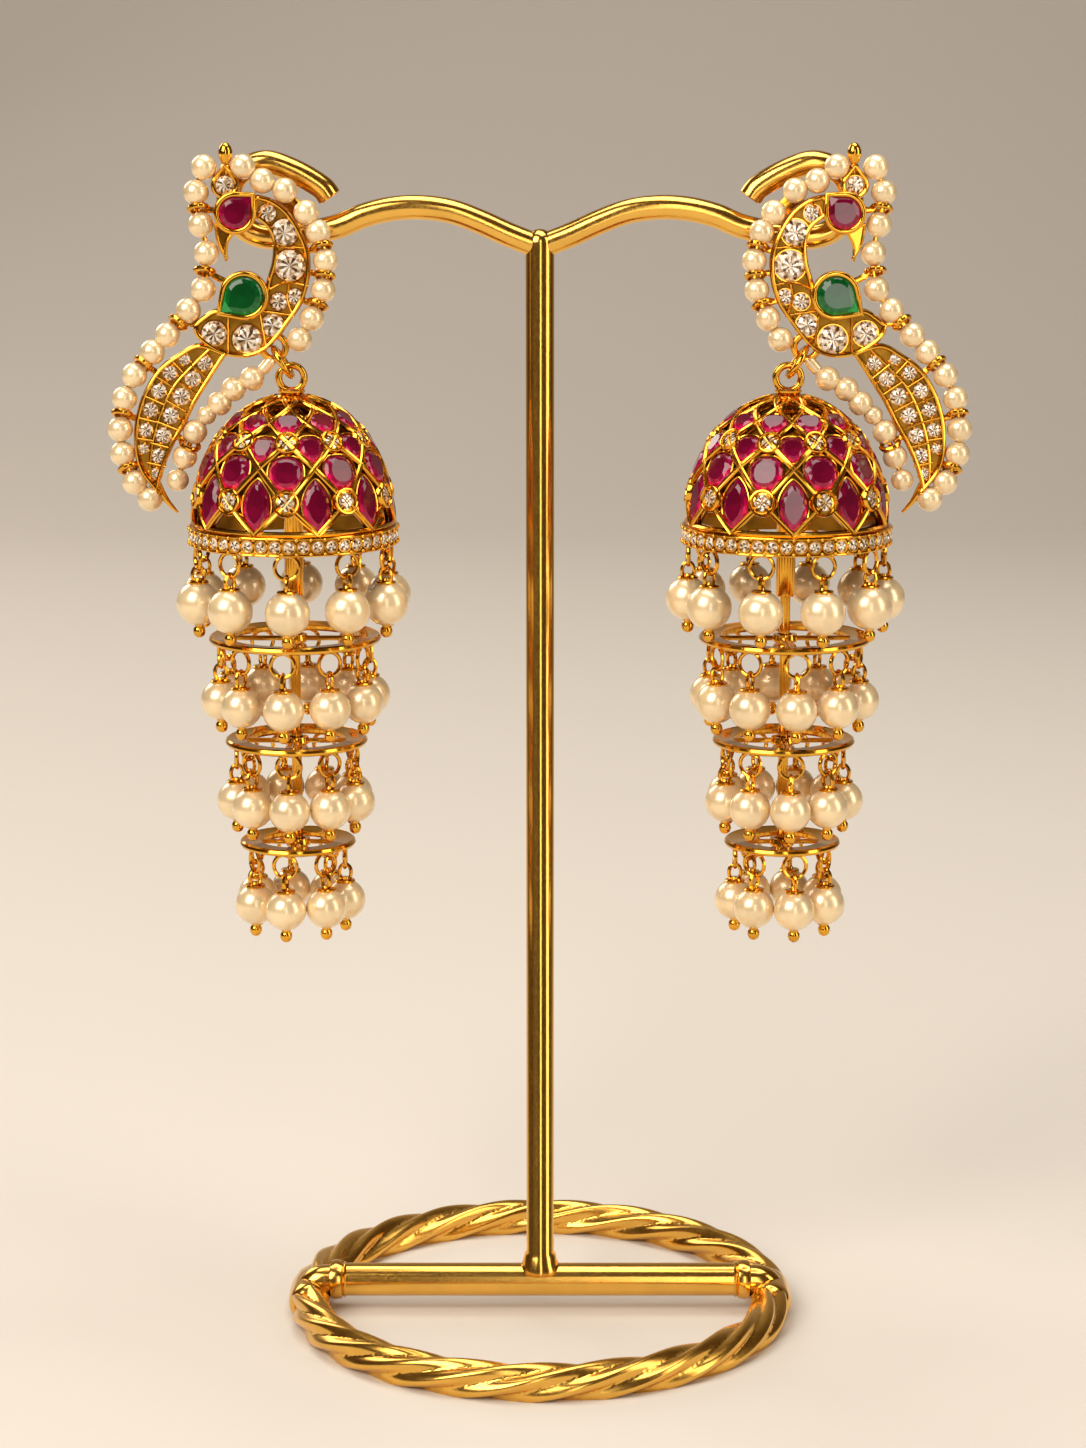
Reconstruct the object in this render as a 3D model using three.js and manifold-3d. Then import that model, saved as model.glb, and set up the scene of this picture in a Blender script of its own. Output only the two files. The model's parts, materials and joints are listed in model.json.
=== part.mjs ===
// A pair of tiered jhumka earrings hanging on a plain T-shaped display stand, in millimetres.
// +X is to the right, -Y is the front, +Z is up. The origin is on the floor, under the column.
import * as THREE from 'three';
import Module from 'manifold-3d';
import { mergeVertices } from 'three/addons/utils/BufferGeometryUtils.js';

const wasm = await Module();
wasm.setup();

// Clearance between pieces that touch on the real thing
const SEAT_GAP = 0.3;

// Stand: a rope-twisted ring with a crossbar, and a column with two arms that end in curls
const BASE_RING_RADIUS = 28.9;
const ROPE_RADIUS = 2.45;
const ROPE_GROOVE = 0.36;
const ROPE_LOBES = 5;
const ROPE_CROSSINGS = 22;
const ROPE_STEPS = 44;
const FOOT_FLAT_DEPTH = 0.75;
const CROSSBAR_RADIUS = 2.05;
const CROSSBAR_LIFT = 2.1;
const FERRULE_WIDTH = 2.2;
const FERRULE_WALL = 0.35;
const COLUMN_RADIUS = 1.7;
const COLUMN_HEIGHT = 132.7;
const ARM_RADIUS = 1.45;
const ARM_REACH = 30.2;
const ARM_RISE = 4.2;
const CURL_LIFT = 4.8;
const CURL_RADIUS = 4.0;

// Stud: a peacock plate whose outlines are shares of its height, measured from the ear post
const STUD_HEIGHT = 42.5;
const PLATE_THICKNESS = 1.4;
const STUD_DEPTH = 3.8;
const STRAND_RADIUS = 1.2;
const BEZEL_WALL = 0.45;
const BEZEL_RISE = 0.8;
const GEM_RISE = 0.7;
const POST_RADIUS = 0.45;
const CLUTCH_RADIUS = 2.4;
const CLUTCH_THICKNESS = 1.2;

// Wire loops that join the stud, the jump link and the jhumka
const WIRE_RADIUS = 0.4;
const LOOP_PLAY = 0.45;
const EYELET_RADIUS = 1.4;
const LINK_RADIUS = 1.9;
const LOOP_RADIUS = 1.5;

// Jhumka: a latticed dome, a rim band, a stem and three rings of drops
const LINK_LEAN = 2.005;
const DOME_RADIUS = 11.9;
const DOME_HEIGHT = 15.1;
const DOME_WALL = 1.2;
const LATTICE_REPEATS = 10;
const RIB_HALF_WIDTH = 0.42;
const GEM_DOME_RISE = 0.45;
const COLLAR_RADIUS = 1.45;
const COLLAR_HEIGHT = 0.5;
const RIM_OVERHANG = 0.5;
const RIM_WALL = 1.5;
const RIM_HEIGHT = 2.3;
const TIER_PITCH = 12.5;
const RING_THICKNESS = 0.9;
const HUB_WALL = 0.6;
const SPOKE_WIDTH = 0.8;
const STEM_RADIUS = 0.6;
const SLEEVE_RADIUS = 1.15;
const SLEEVE_DROP = 6.5;
const STEM_COLLAR_HEIGHT = 0.6;
const DROP_HANG = 6.8;
const DROP_WIRE_RADIUS = 0.35;
const RIM_PEARL_RADIUS = 2.55;
const TIER_PEARL_RADIUS = 2.4;

// How finely round things are faceted
const PEARL_SIDES = 10;
const BALL_BANDS = 4;
const WIRE_SIDES = 5;
const LOOP_STEPS = 10;
const RING_STEPS = 16;
const TUBE_SIDES = 10;
const TEARDROP_SIDES = 8;
const STRAND_SIDES = 6;
const ARM_STEPS = 24;

// Each tier: its ring's outer and inner radius as shares of DOME_RADIUS, how many drops it has,
// and how far the first drop stands outwards of the front
const TIERS = [
  { name: 'tier_one', outer: 0.866, inner: 0.647, drops: 10, turn: THREE.MathUtils.degToRad(5.5) },
  { name: 'tier_two', outer: 0.718, inner: 0.496, drops: 9, turn: THREE.MathUtils.degToRad(3.5) },
  { name: 'tier_three', outer: 0.588, inner: 0.361, drops: 7, turn: THREE.MathUtils.degToRad(12) },
];
const RIM_DROPS = LATTICE_REPEATS;

// How each bell hangs on its link: the left one has come to rest half a repeat further round
const BELL_TURN = { right: 0, left: Math.PI / LATTICE_REPEATS };

// Peacock outlines: [outward, up] as shares of STUD_HEIGHT
const BODY_OUTER = [
  [0.065, 0.067], [0.022, 0.054], [-0.022, 0.019], [-0.057, -0.038], [-0.074, -0.086],
  [-0.078, -0.130], [-0.072, -0.178], [-0.054, -0.231], [-0.018, -0.284], [0.028, -0.342],
  [0.064, -0.369], [0.108, -0.380], [0.162, -0.373], [0.206, -0.351], [0.241, -0.320],
  [0.243, -0.284],
];
const BODY_INNER = [
  [0.217, -0.262], [0.180, -0.245], [0.110, -0.262], [0.062, -0.235], [0.040, -0.160],
  [0.026, -0.110], [0.025, -0.055], [0.042, -0.020], [0.075, 0.006],
];
const BEAK = [[0.178, -0.020], [0.170, -0.070], [0.150, -0.114], [0.150, -0.070], [0.128, -0.030]];
const TAIL_OUTER = [
  [0.150, -0.366], [0.231, -0.340], [0.295, -0.370], [0.347, -0.410], [0.386, -0.470],
  [0.408, -0.529], [0.418, -0.589], [0.415, -0.656], [0.400, -0.701], [0.372, -0.739],
  [0.348, -0.764],
];
const TAIL_INNER = [
  [0.350, -0.735], [0.336, -0.686], [0.310, -0.626], [0.276, -0.567], [0.245, -0.507],
  [0.207, -0.447], [0.165, -0.384],
];
const TAIL_HOOK = [[0.366, -0.735], [0.340, -0.778], [0.313, -0.812], [0.322, -0.776], [0.340, -0.748]];

// The larger crystals on the body: place and radius as shares of STUD_HEIGHT
const BODY_CRYSTALS = [
  { at: [-0.009, -0.036], radius: 0.0365 },
  { at: [-0.022, -0.126], radius: 0.0412 },
  { at: [0.027, -0.289], radius: 0.0318 },
  { at: [0.099, -0.327], radius: 0.0388 },
  { at: [0.187, -0.311], radius: 0.0353 },
];
const CRYSTAL_RISE = 0.6;

// Teardrops: centre and radius as shares of STUD_HEIGHT, how far the tip stands out, where it points
const HEAD = { at: [0.125, 0.018], radius: 0.0565, reach: 1.39, angle: THREE.MathUtils.degToRad(135) };
const BREAST = { at: [0.104, -0.207], radius: 0.0659, reach: 1.44, angle: THREE.MathUtils.degToRad(-35) };
const CREST = { at: [0.153, 0.093], radius: 0.0318, reach: 1.55, angle: THREE.MathUtils.degToRad(90) };
const CREST_BALL = { at: [0.151, 0.178], radius: 0.02 };
const EYELET_AT = [0.026, -0.351];

// Strings of small pearls round the plate: route points as shares of STUD_HEIGHT
const STRANDS = {
  outer_strand: [
    [0.211, 0.141], [0.236, 0.073], [0.222, -0.015], [0.210, -0.093], [0.219, -0.190],
    [0.263, -0.248], [0.320, -0.318], [0.363, -0.363], [0.414, -0.427], [0.443, -0.494],
    [0.457, -0.579], [0.452, -0.650], [0.426, -0.727], [0.386, -0.776],
  ],
  neck_strand: [
    [0.104, 0.143], [0.050, 0.108], [-0.012, 0.082], [-0.070, 0.022], [-0.102, -0.035],
    [-0.120, -0.114], [-0.112, -0.195], [-0.082, -0.272], [-0.045, -0.330],
  ],
  inner_strand: [
    [0.304, -0.720], [0.284, -0.659], [0.246, -0.587], [0.214, -0.540], [0.178, -0.507],
    [0.136, -0.466], [0.090, -0.438], [0.068, -0.424],
  ],
};
const STRAND_STEPS = { outer_strand: 13, neck_strand: 9, inner_strand: 7 };

// Arm centreline from the column to the curl: share of ARM_REACH, share of ARM_RISE
const ARM_ROUTE = [
  [0, -0.1], [0.116, 0.22], [0.234, 0.6], [0.345, 0.885], [0.464, 1], [0.58, 0.955],
  [0.69, 0.765], [0.805, 0.438],
];
// The curl from straight below its centre, outwards and over the top: shares of CURL_RADIUS
const CURL_ROUTE = [
  [0, -1], [0.8, -0.95], [1.4, -0.52], [1.62, 0.1], [1.35, 0.8], [0.55, 1.15], [-0.3, 0.91],
  [-1.1, 0.45], [-1.35, 0.15],
];

// Dome lattice: how far up the dome each row of crossings lies, as an angle from the base
const LATTICE_RISE = [0, 14.2, 30, 43.3, 55.3, 67, 80].map(THREE.MathUtils.degToRad);

// Places that follow from the sizes above
const BASE_RING_HEIGHT = ROPE_RADIUS - FOOT_FLAT_DEPTH;
const CROSSBAR_HEIGHT = BASE_RING_HEIGHT + CROSSBAR_LIFT;
const CURL_CENTRE = [ARM_REACH, COLUMN_HEIGHT + CURL_LIFT];
const POST_X = ARM_REACH;
const POST_Z = CURL_CENTRE[1] - CURL_RADIUS + ARM_RADIUS + SEAT_GAP + POST_RADIUS;
const WIRE_HANG = 2 * WIRE_RADIUS + LOOP_PLAY;
const EYELET_X = POST_X + EYELET_AT[0] * STUD_HEIGHT;
const EYELET_Z = POST_Z + EYELET_AT[1] * STUD_HEIGHT;
const LINK_TOP_Z = EYELET_Z - EYELET_RADIUS + WIRE_HANG;
const JHUMKA_X = EYELET_X - LINK_LEAN;
const LINK_SLANT = Math.asin(LINK_LEAN / (2 * LINK_RADIUS));
const LINK_BOTTOM_Z = LINK_TOP_Z - 2 * LINK_RADIUS * Math.cos(LINK_SLANT);
const LOOP_Z = LINK_BOTTOM_Z + WIRE_HANG - LOOP_RADIUS;
const DOME_BASE_Z = LOOP_Z - LOOP_RADIUS - COLLAR_HEIGHT - DOME_HEIGHT;
const RIM_TOP_Z = DOME_BASE_Z - SEAT_GAP;
const RIM_RADIUS = DOME_RADIUS + RIM_OVERHANG;
const tierZ = (index) => RIM_TOP_Z - RIM_HEIGHT / 2 - TIER_PITCH * (index + 1);

// A closed mesh's geometry becomes a solid that can be joined and cut
function solid(geometry) {
  const bare = geometry.clone();
  bare.deleteAttribute('normal');
  bare.deleteAttribute('uv');
  const merged = mergeVertices(bare, 1e-4);
  return new wasm.Manifold(new wasm.Mesh({
    numProp: 3,
    vertProperties: new Float32Array(merged.attributes.position.array),
    triVerts: new Uint32Array(merged.index.array),
  }));
}

function geometryOf(manifold) {
  const mesh = manifold.getMesh();
  const geometry = new THREE.BufferGeometry();
  geometry.setAttribute('position', new THREE.BufferAttribute(new Float32Array(mesh.vertProperties), 3));
  geometry.setIndex(new THREE.BufferAttribute(new Uint32Array(mesh.triVerts), 1));
  geometry.computeVertexNormals();
  return geometry;
}

function joined(geometries) {
  return geometries.map(solid).reduce((whole, piece) => whole.add(piece));
}

// The same shape seen in a mirror across the plane X = 0, with its faces still pointing out
function mirrored(geometry) {
  const copy = geometry.clone();
  copy.scale(-1, 1, 1);
  const index = copy.index.array;
  for (let i = 0; i < index.length; i += 3) {
    [index[i], index[i + 1]] = [index[i + 1], index[i]];
  }
  copy.computeVertexNormals();
  return copy;
}

// A circle of a few sides, as a section to sweep along a route
function roundSection(radius, sides) {
  const section = new THREE.Shape();
  for (let i = 0; i < sides; i += 1) {
    const turn = (2 * Math.PI * i) / sides;
    const [x, y] = [radius * Math.cos(turn), radius * Math.sin(turn)];
    if (i === 0) section.moveTo(x, y);
    else section.lineTo(x, y);
  }
  section.closePath();
  return section;
}

function tubeAlong(points, radius, sides, steps) {
  const route = new THREE.CatmullRomCurve3(points, false, 'centripetal');
  return new THREE.ExtrudeGeometry(roundSection(radius, sides), { steps, extrudePath: route });
}

// A flat outline in the X-Z plane, grown towards the front from the given back plane
function plate(points, thickness, back) {
  const outline = new THREE.Shape(points.map(([x, z]) => new THREE.Vector2(x, z)));
  const geometry = new THREE.ExtrudeGeometry(outline, { depth: thickness, bevelEnabled: false });
  geometry.rotateX(Math.PI / 2);
  geometry.translate(0, back, 0);
  return geometry;
}

const onStud = (points) => points.map(([x, z]) => [x * STUD_HEIGHT, z * STUD_HEIGHT]);

// A circle drawn out to one tip: the arc stops where the tip's tangents leave it. It may be
// trimmed, to lie inside its own wall.
function teardrop(shape, trim = 0) {
  const { at, reach, angle } = shape;
  const [x, z] = [at[0] * STUD_HEIGHT, at[1] * STUD_HEIGHT];
  const radius = shape.radius * STUD_HEIGHT - trim;
  const opening = Math.acos(1 / reach);
  const points = [[x + radius * reach * Math.cos(angle), z + radius * reach * Math.sin(angle)]];
  for (let i = 0; i <= TEARDROP_SIDES; i += 1) {
    const turn = angle + opening + ((2 * Math.PI - 2 * opening) * i) / TEARDROP_SIDES;
    points.push([x + radius * Math.cos(turn), z + radius * Math.sin(turn)]);
  }
  return points;
}

// A low faceted cone whose flat top faces the front, used for a round stone in its setting
function roundStone(at, radius, back, rise) {
  const stone = new THREE.CylinderGeometry(radius, radius * 0.6, rise, 8);
  stone.rotateX(Math.PI / 2);
  stone.translate(at[0] * STUD_HEIGHT, back - rise / 2, at[1] * STUD_HEIGHT);
  return stone;
}

// A cut stone over a closed outline: table in front, sloping crown, upright girdle, pointed back
function cutStone(outline, centre, girdleY, rise, depth) {
  const count = outline.length;
  const shrink = (share, y) => outline.map(([x, z]) => [
    centre[0] + (x - centre[0]) * share, y, centre[1] + (z - centre[1]) * share,
  ]);
  const table = shrink(0.6, girdleY - rise);
  const girdle = shrink(1, girdleY);
  const pavilion = shrink(0.5, girdleY + depth);
  const positions = [...table, ...girdle, ...pavilion].flat();
  const index = [];
  for (let i = 0; i < count; i += 1) {
    const next = (i + 1) % count;
    for (const row of [0, count]) {
      index.push(row + i, row + count + i, row + count + next);
      index.push(row + i, row + count + next, row + next);
    }
    if (i > 0 && next > 0) {
      index.push(0, i, next);
      index.push(2 * count, 2 * count + next, 2 * count + i);
    }
  }
  const geometry = new THREE.BufferGeometry();
  geometry.setAttribute('position', new THREE.BufferAttribute(new Float32Array(positions), 3));
  geometry.setIndex(index);
  return geometry;
}

// The rope ring is a torus whose tube section has lobes and turns as it goes round, flat underneath
function ropeRing() {
  const ring = new THREE.TorusGeometry(BASE_RING_RADIUS, ROPE_RADIUS, 2 * ROPE_LOBES, ROPE_STEPS);
  const position = ring.attributes.position;
  const twist = ROPE_CROSSINGS / ROPE_LOBES;
  const columns = ROPE_STEPS + 1;
  for (let i = 0; i < position.count; i += 1) {
    const along = ((i % columns) / ROPE_STEPS) * 2 * Math.PI;
    const corner = Math.floor(i / columns);
    const around = (corner / (2 * ROPE_LOBES)) * 2 * Math.PI + twist * along;
    const radius = corner % 2 === 0 ? ROPE_RADIUS : ROPE_RADIUS - ROPE_GROOVE;
    const out = BASE_RING_RADIUS + radius * Math.cos(around);
    const height = Math.max(0, BASE_RING_HEIGHT + radius * Math.sin(around));
    position.setXYZ(i, out * Math.cos(along), out * Math.sin(along), height);
  }
  // Each quad is split along its other diagonal, so that the facets underneath lie flat
  const index = ring.index.array;
  for (let quad = 0; quad < index.length; quad += 6) {
    const [a, b, d, , c] = index.slice(quad, quad + 6);
    index.set([a, b, c, a, c, d], quad);
  }
  return ring;
}

function bar(radius, length, sides) {
  const rod = new THREE.CylinderGeometry(radius, radius, length, sides);
  rod.rotateZ(Math.PI / 2);
  return rod;
}

function standBase() {
  const reach = BASE_RING_RADIUS;
  const crossbar = bar(CROSSBAR_RADIUS, 2 * reach, TUBE_SIDES);
  crossbar.translate(0, 0, CROSSBAR_HEIGHT);
  const ferrules = [-1, 1].map((side) => {
    const ferrule = bar(CROSSBAR_RADIUS + FERRULE_WALL, FERRULE_WIDTH, TUBE_SIDES);
    ferrule.translate(side * (reach - ROPE_RADIUS - FERRULE_WIDTH / 2), 0, CROSSBAR_HEIGHT);
    return ferrule;
  });
  return joined([ropeRing(), crossbar, ...ferrules]);
}

function arm() {
  const arch = ARM_ROUTE.map(([out, up]) => (
    new THREE.Vector3(out * ARM_REACH, 0, COLUMN_HEIGHT + up * ARM_RISE)
  ));
  const curl = CURL_ROUTE.map(([out, up]) => (
    new THREE.Vector3(CURL_CENTRE[0] + out * CURL_RADIUS, 0, CURL_CENTRE[1] + up * CURL_RADIUS)
  ));
  return mergeVertices(tubeAlong([...arch, ...curl], ARM_RADIUS, 8, ARM_STEPS), 1e-4);
}

function standTree() {
  const foot = CROSSBAR_HEIGHT;
  const column = new THREE.CylinderGeometry(COLUMN_RADIUS, COLUMN_RADIUS, COLUMN_HEIGHT - foot, TUBE_SIDES);
  column.rotateX(Math.PI / 2);
  column.translate(0, 0, (COLUMN_HEIGHT + foot) / 2);
  const crown = new THREE.SphereGeometry(COLUMN_RADIUS, TUBE_SIDES, BALL_BANDS);
  crown.rotateX(Math.PI / 2);
  crown.translate(0, 0, COLUMN_HEIGHT);
  const saddle = bar(CROSSBAR_RADIUS + SEAT_GAP, 4 * COLUMN_RADIUS, TUBE_SIDES);
  saddle.translate(0, 0, CROSSBAR_HEIGHT);
  return joined([column, crown, arm(), mirrored(arm())]).subtract(solid(saddle));
}

// The peacock: body, head, beak, crest and tail plates soldered into one, with its round crystals
function studPlate() {
  const back = PLATE_THICKNESS / 2;
  const front = -PLATE_THICKNESS / 2;
  const pieces = [
    plate(onStud([...BODY_OUTER, ...BODY_INNER]), PLATE_THICKNESS, back),
    plate(onStud(BEAK), PLATE_THICKNESS, back),
    plate(onStud([...TAIL_OUTER, ...TAIL_INNER]), PLATE_THICKNESS, back),
    plate(onStud(TAIL_HOOK), PLATE_THICKNESS * 0.7, back * 0.7),
    plate(teardrop(HEAD), PLATE_THICKNESS + BEZEL_RISE, back),
    plate(teardrop(BREAST), PLATE_THICKNESS + BEZEL_RISE, back),
    plate(teardrop(CREST), PLATE_THICKNESS, back),
  ];
  const [ballX, ballZ] = [CREST_BALL.at[0] * STUD_HEIGHT, CREST_BALL.at[1] * STUD_HEIGHT];
  const ball = new THREE.SphereGeometry(CREST_BALL.radius * STUD_HEIGHT, PEARL_SIDES, BALL_BANDS);
  ball.rotateX(Math.PI / 2);
  ball.translate(ballX, 0, ballZ);
  const crestTop = (CREST.at[1] + CREST.radius) * STUD_HEIGHT;
  const pin = new THREE.CylinderGeometry(WIRE_RADIUS, WIRE_RADIUS, ballZ - crestTop, WIRE_SIDES);
  pin.rotateX(Math.PI / 2);
  pin.translate(ballX, 0, (ballZ + crestTop) / 2);
  const boss = new THREE.CylinderGeometry(
    EYELET_RADIUS + WIRE_RADIUS, EYELET_RADIUS + WIRE_RADIUS, 2 * WIRE_RADIUS, LOOP_STEPS,
  );
  boss.translate(EYELET_AT[0] * STUD_HEIGHT, 0, EYELET_AT[1] * STUD_HEIGHT);
  const crystals = BODY_CRYSTALS.map(({ at, radius }) => (
    roundStone(at, radius * STUD_HEIGHT, front + SEAT_GAP, CRYSTAL_RISE + SEAT_GAP)
  ));
  const whole = joined([...pieces, ball, pin, boss, ...crystals]);
  const hole = new THREE.CylinderGeometry(
    EYELET_RADIUS - WIRE_RADIUS, EYELET_RADIUS - WIRE_RADIUS, 4 * PLATE_THICKNESS, LOOP_STEPS,
  );
  hole.translate(EYELET_AT[0] * STUD_HEIGHT, 0, EYELET_AT[1] * STUD_HEIGHT);
  const pocket = (shape) => plate(
    teardrop(shape, BEZEL_WALL), PLATE_THICKNESS + BEZEL_RISE, front + SEAT_GAP,
  );
  return [hole, pocket(HEAD), pocket(BREAST)]
    .map(solid)
    .reduce((rest, tool) => rest.subtract(tool), whole);
}

// A teardrop gem that lies in its bezel's pocket, clear of the wall and the floor
function bezelGem(shape) {
  const outline = teardrop(shape, BEZEL_WALL + SEAT_GAP);
  const centre = [shape.at[0] * STUD_HEIGHT, shape.at[1] * STUD_HEIGHT];
  const girdle = -PLATE_THICKNESS / 2 - BEZEL_RISE;
  return cutStone(outline, centre, girdle, GEM_RISE, BEZEL_RISE);
}

// A pearl string's route, in the plate's middle plane
function strand(name) {
  const points = onStud(STRANDS[name]).map(([x, z]) => new THREE.Vector3(x, 0, z));
  return mergeVertices(tubeAlong(points, STRAND_RADIUS, STRAND_SIDES, STRAND_STEPS[name]), 1e-4);
}

// Ear post and clutch, turned as one round piece behind the plate: Y runs to the back
function earPost() {
  const start = PLATE_THICKNESS / 2 + SEAT_GAP;
  const clutch = STUD_DEPTH + ARM_RADIUS + SEAT_GAP;
  const end = clutch + CLUTCH_THICKNESS;
  return new THREE.LatheGeometry([
    [0, start], [POST_RADIUS, start], [POST_RADIUS, clutch], [CLUTCH_RADIUS, clutch],
    [CLUTCH_RADIUS, end], [0, end],
  ].map(([r, y]) => new THREE.Vector2(r, y)), PEARL_SIDES);
}

function wireRing(radius) {
  return new THREE.TorusGeometry(radius, WIRE_RADIUS, WIRE_SIDES, LOOP_STEPS);
}

// The jump link stands across the eyelet and the jhumka's loop, slanting between them
function jumpLink() {
  const ring = wireRing(LINK_RADIUS);
  ring.rotateY(Math.PI / 2);
  ring.translate(0, 0, -LINK_RADIUS);
  ring.rotateY(LINK_SLANT);
  return ring;
}

// A point of the dome: turn counts half repeats round, rise is the angle up from the base
function domePoint(turn, rise, depth) {
  const around = (Math.PI * turn) / LATTICE_REPEATS;
  const out = (DOME_RADIUS - depth) * Math.cos(rise);
  return new THREE.Vector3(
    out * Math.cos(around), out * Math.sin(around), (DOME_HEIGHT - depth) * Math.sin(rise),
  );
}

const middleOf = (points) => points
  .reduce((sum, point) => sum.add(point), new THREE.Vector3())
  .divideScalar(points.length);

// Moves each corner of a cell inwards so that a rib of the set half width is left round it
function inset(points) {
  const middle = middleOf(points);
  const reach = Math.min(...points.map((point, i) => {
    const edge = new THREE.Line3(point, points[(i + 1) % points.length]);
    return edge.closestPointToPoint(middle, true, new THREE.Vector3()).distanceTo(middle);
  }));
  return points.map((point) => point.clone().lerp(middle, RIB_HALF_WIDTH / reach));
}

// The lattice dome is one closed skin: cells of ribs round open windows or round set gems
function latticeDome() {
  const faces = [];
  const strip = (a, b) => a.forEach((_, i) => {
    const next = (i + 1) % a.length;
    faces.push([a[i], a[next], b[next]], [a[i], b[next], b[i]]);
  });
  const cone = (ring, tip) => ring.forEach((point, i) => {
    faces.push([point, ring[(i + 1) % ring.length], tip]);
  });
  const corners = (cell, depth) => cell.map(([turn, row]) => domePoint(turn, LATTICE_RISE[row], depth));
  const openCell = (cell) => {
    const [outer, inner] = [corners(cell, 0), corners(cell, DOME_WALL)];
    const [window, back] = [inset(outer), inset(inner)];
    strip(outer, window);
    strip(window, back);
    strip(back, inner);
  };
  const gemCell = (cell) => {
    const [outer, inner] = [corners(cell, 0), corners(cell, DOME_WALL)];
    const girdle = inset(outer);
    const middle = middleOf(girdle);
    const proud = middle.clone().normalize().multiplyScalar(GEM_DOME_RISE);
    const table = girdle.map((point) => point.clone().lerp(middle, 0.45).add(proud));
    strip(outer, girdle);
    strip(girdle, table);
    faces.push([table[0], table[1], table[2]], [table[0], table[2], table[3]]);
    cone([...inner].reverse(), middleOf(inner).multiplyScalar(0.97));
  };
  for (let k = 0; k < LATTICE_REPEATS; k += 1) {
    const node = 2 * k;
    openCell([[node - 1, 0], [node, 0], [node + 1, 0], [node, 1]]);
    for (const row of [0, 1, 2, 3]) {
      const turn = row % 2 === 0 ? node + 1 : node;
      gemCell([[turn, row], [turn + 1, row + 1], [turn, row + 2], [turn - 1, row + 1]]);
    }
    openCell([[node + 1, 4], [node + 2, 5], [node + 1, 6], [node, 5]]);
    const crown = [[node, 5], [node + 1, 6], [node - 1, 6]];
    faces.push(corners(crown, 0), corners(crown, DOME_WALL).reverse());
    for (const turn of [node - 1, node]) {
      const [a, b] = corners([[turn, 0], [turn + 1, 0]], 0);
      const [c, d] = corners([[turn, 0], [turn + 1, 0]], DOME_WALL);
      faces.push([b, a, c], [b, c, d]);
    }
  }
  const topRing = Array.from({ length: LATTICE_REPEATS }, (_, k) => [2 * k + 1, 6]);
  cone(corners(topRing, 0), domePoint(0, Math.PI / 2, 0));
  cone(corners(topRing, DOME_WALL).reverse(), domePoint(0, Math.PI / 2, DOME_WALL));
  const geometry = new THREE.BufferGeometry().setFromPoints(faces.flat());
  return mergeVertices(geometry, 1e-4);
}

function dome(turn) {
  const lattice = latticeDome();
  lattice.rotateZ(turn);
  const collar = new THREE.CylinderGeometry(COLLAR_RADIUS, COLLAR_RADIUS, 2 * COLLAR_HEIGHT, TUBE_SIDES);
  collar.rotateX(Math.PI / 2);
  collar.translate(0, 0, DOME_HEIGHT);
  const loop = wireRing(LOOP_RADIUS);
  loop.rotateX(Math.PI / 2);
  loop.translate(0, 0, DOME_HEIGHT + COLLAR_HEIGHT + LOOP_RADIUS);
  return joined([lattice, collar, loop]);
}

// A flat ring about Z, its top at the given height
function flatRing(outer, inner, thickness, top, steps) {
  const ring = new THREE.LatheGeometry([
    [inner, top - thickness], [outer, top - thickness], [outer, top], [inner, top],
    [inner, top - thickness],
  ].map(([r, y]) => new THREE.Vector2(r, y)), steps);
  ring.rotateX(Math.PI / 2);
  return ring;
}

// A drop is a pearl and the wire above it, hung on a ring whose underside is at the given height
function drop(radius, turn, underside, pearlRadius) {
  const centre = underside - DROP_HANG;
  const hanging = new THREE.LatheGeometry([
    [0, centre - pearlRadius], [0.93 * pearlRadius, centre - 0.4 * pearlRadius],
    [0.93 * pearlRadius, centre + 0.4 * pearlRadius], [DROP_WIRE_RADIUS, centre + pearlRadius],
    [0, underside + RING_THICKNESS * 0.8],
  ].map(([r, y]) => new THREE.Vector2(r, y)), PEARL_SIDES);
  hanging.rotateX(Math.PI / 2);
  hanging.translate(radius * Math.cos(turn), radius * Math.sin(turn), 0);
  return hanging;
}

// Drops start at a turn from the front, which is the -Y side
function dropRing(count, radius, turn, underside, pearlRadius) {
  return Array.from({ length: count }, (_, i) => (
    drop(radius, turn - Math.PI / 2 + (2 * Math.PI * i) / count, underside, pearlRadius)
  ));
}

// The rim's drops hang under the crossings of the bell's ribs
function rimBand(turn) {
  const inner = RIM_RADIUS - RIM_WALL;
  const band = flatRing(RIM_RADIUS, inner, RIM_HEIGHT, RIM_TOP_Z, 2 * LATTICE_REPEATS);
  const first = turn + Math.PI / LATTICE_REPEATS;
  const underside = RIM_TOP_Z - RIM_HEIGHT;
  const drops = dropRing(RIM_DROPS, RIM_RADIUS - RIM_WALL / 2, first, underside, RIM_PEARL_RADIUS);
  return joined([band, ...drops]);
}

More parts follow.
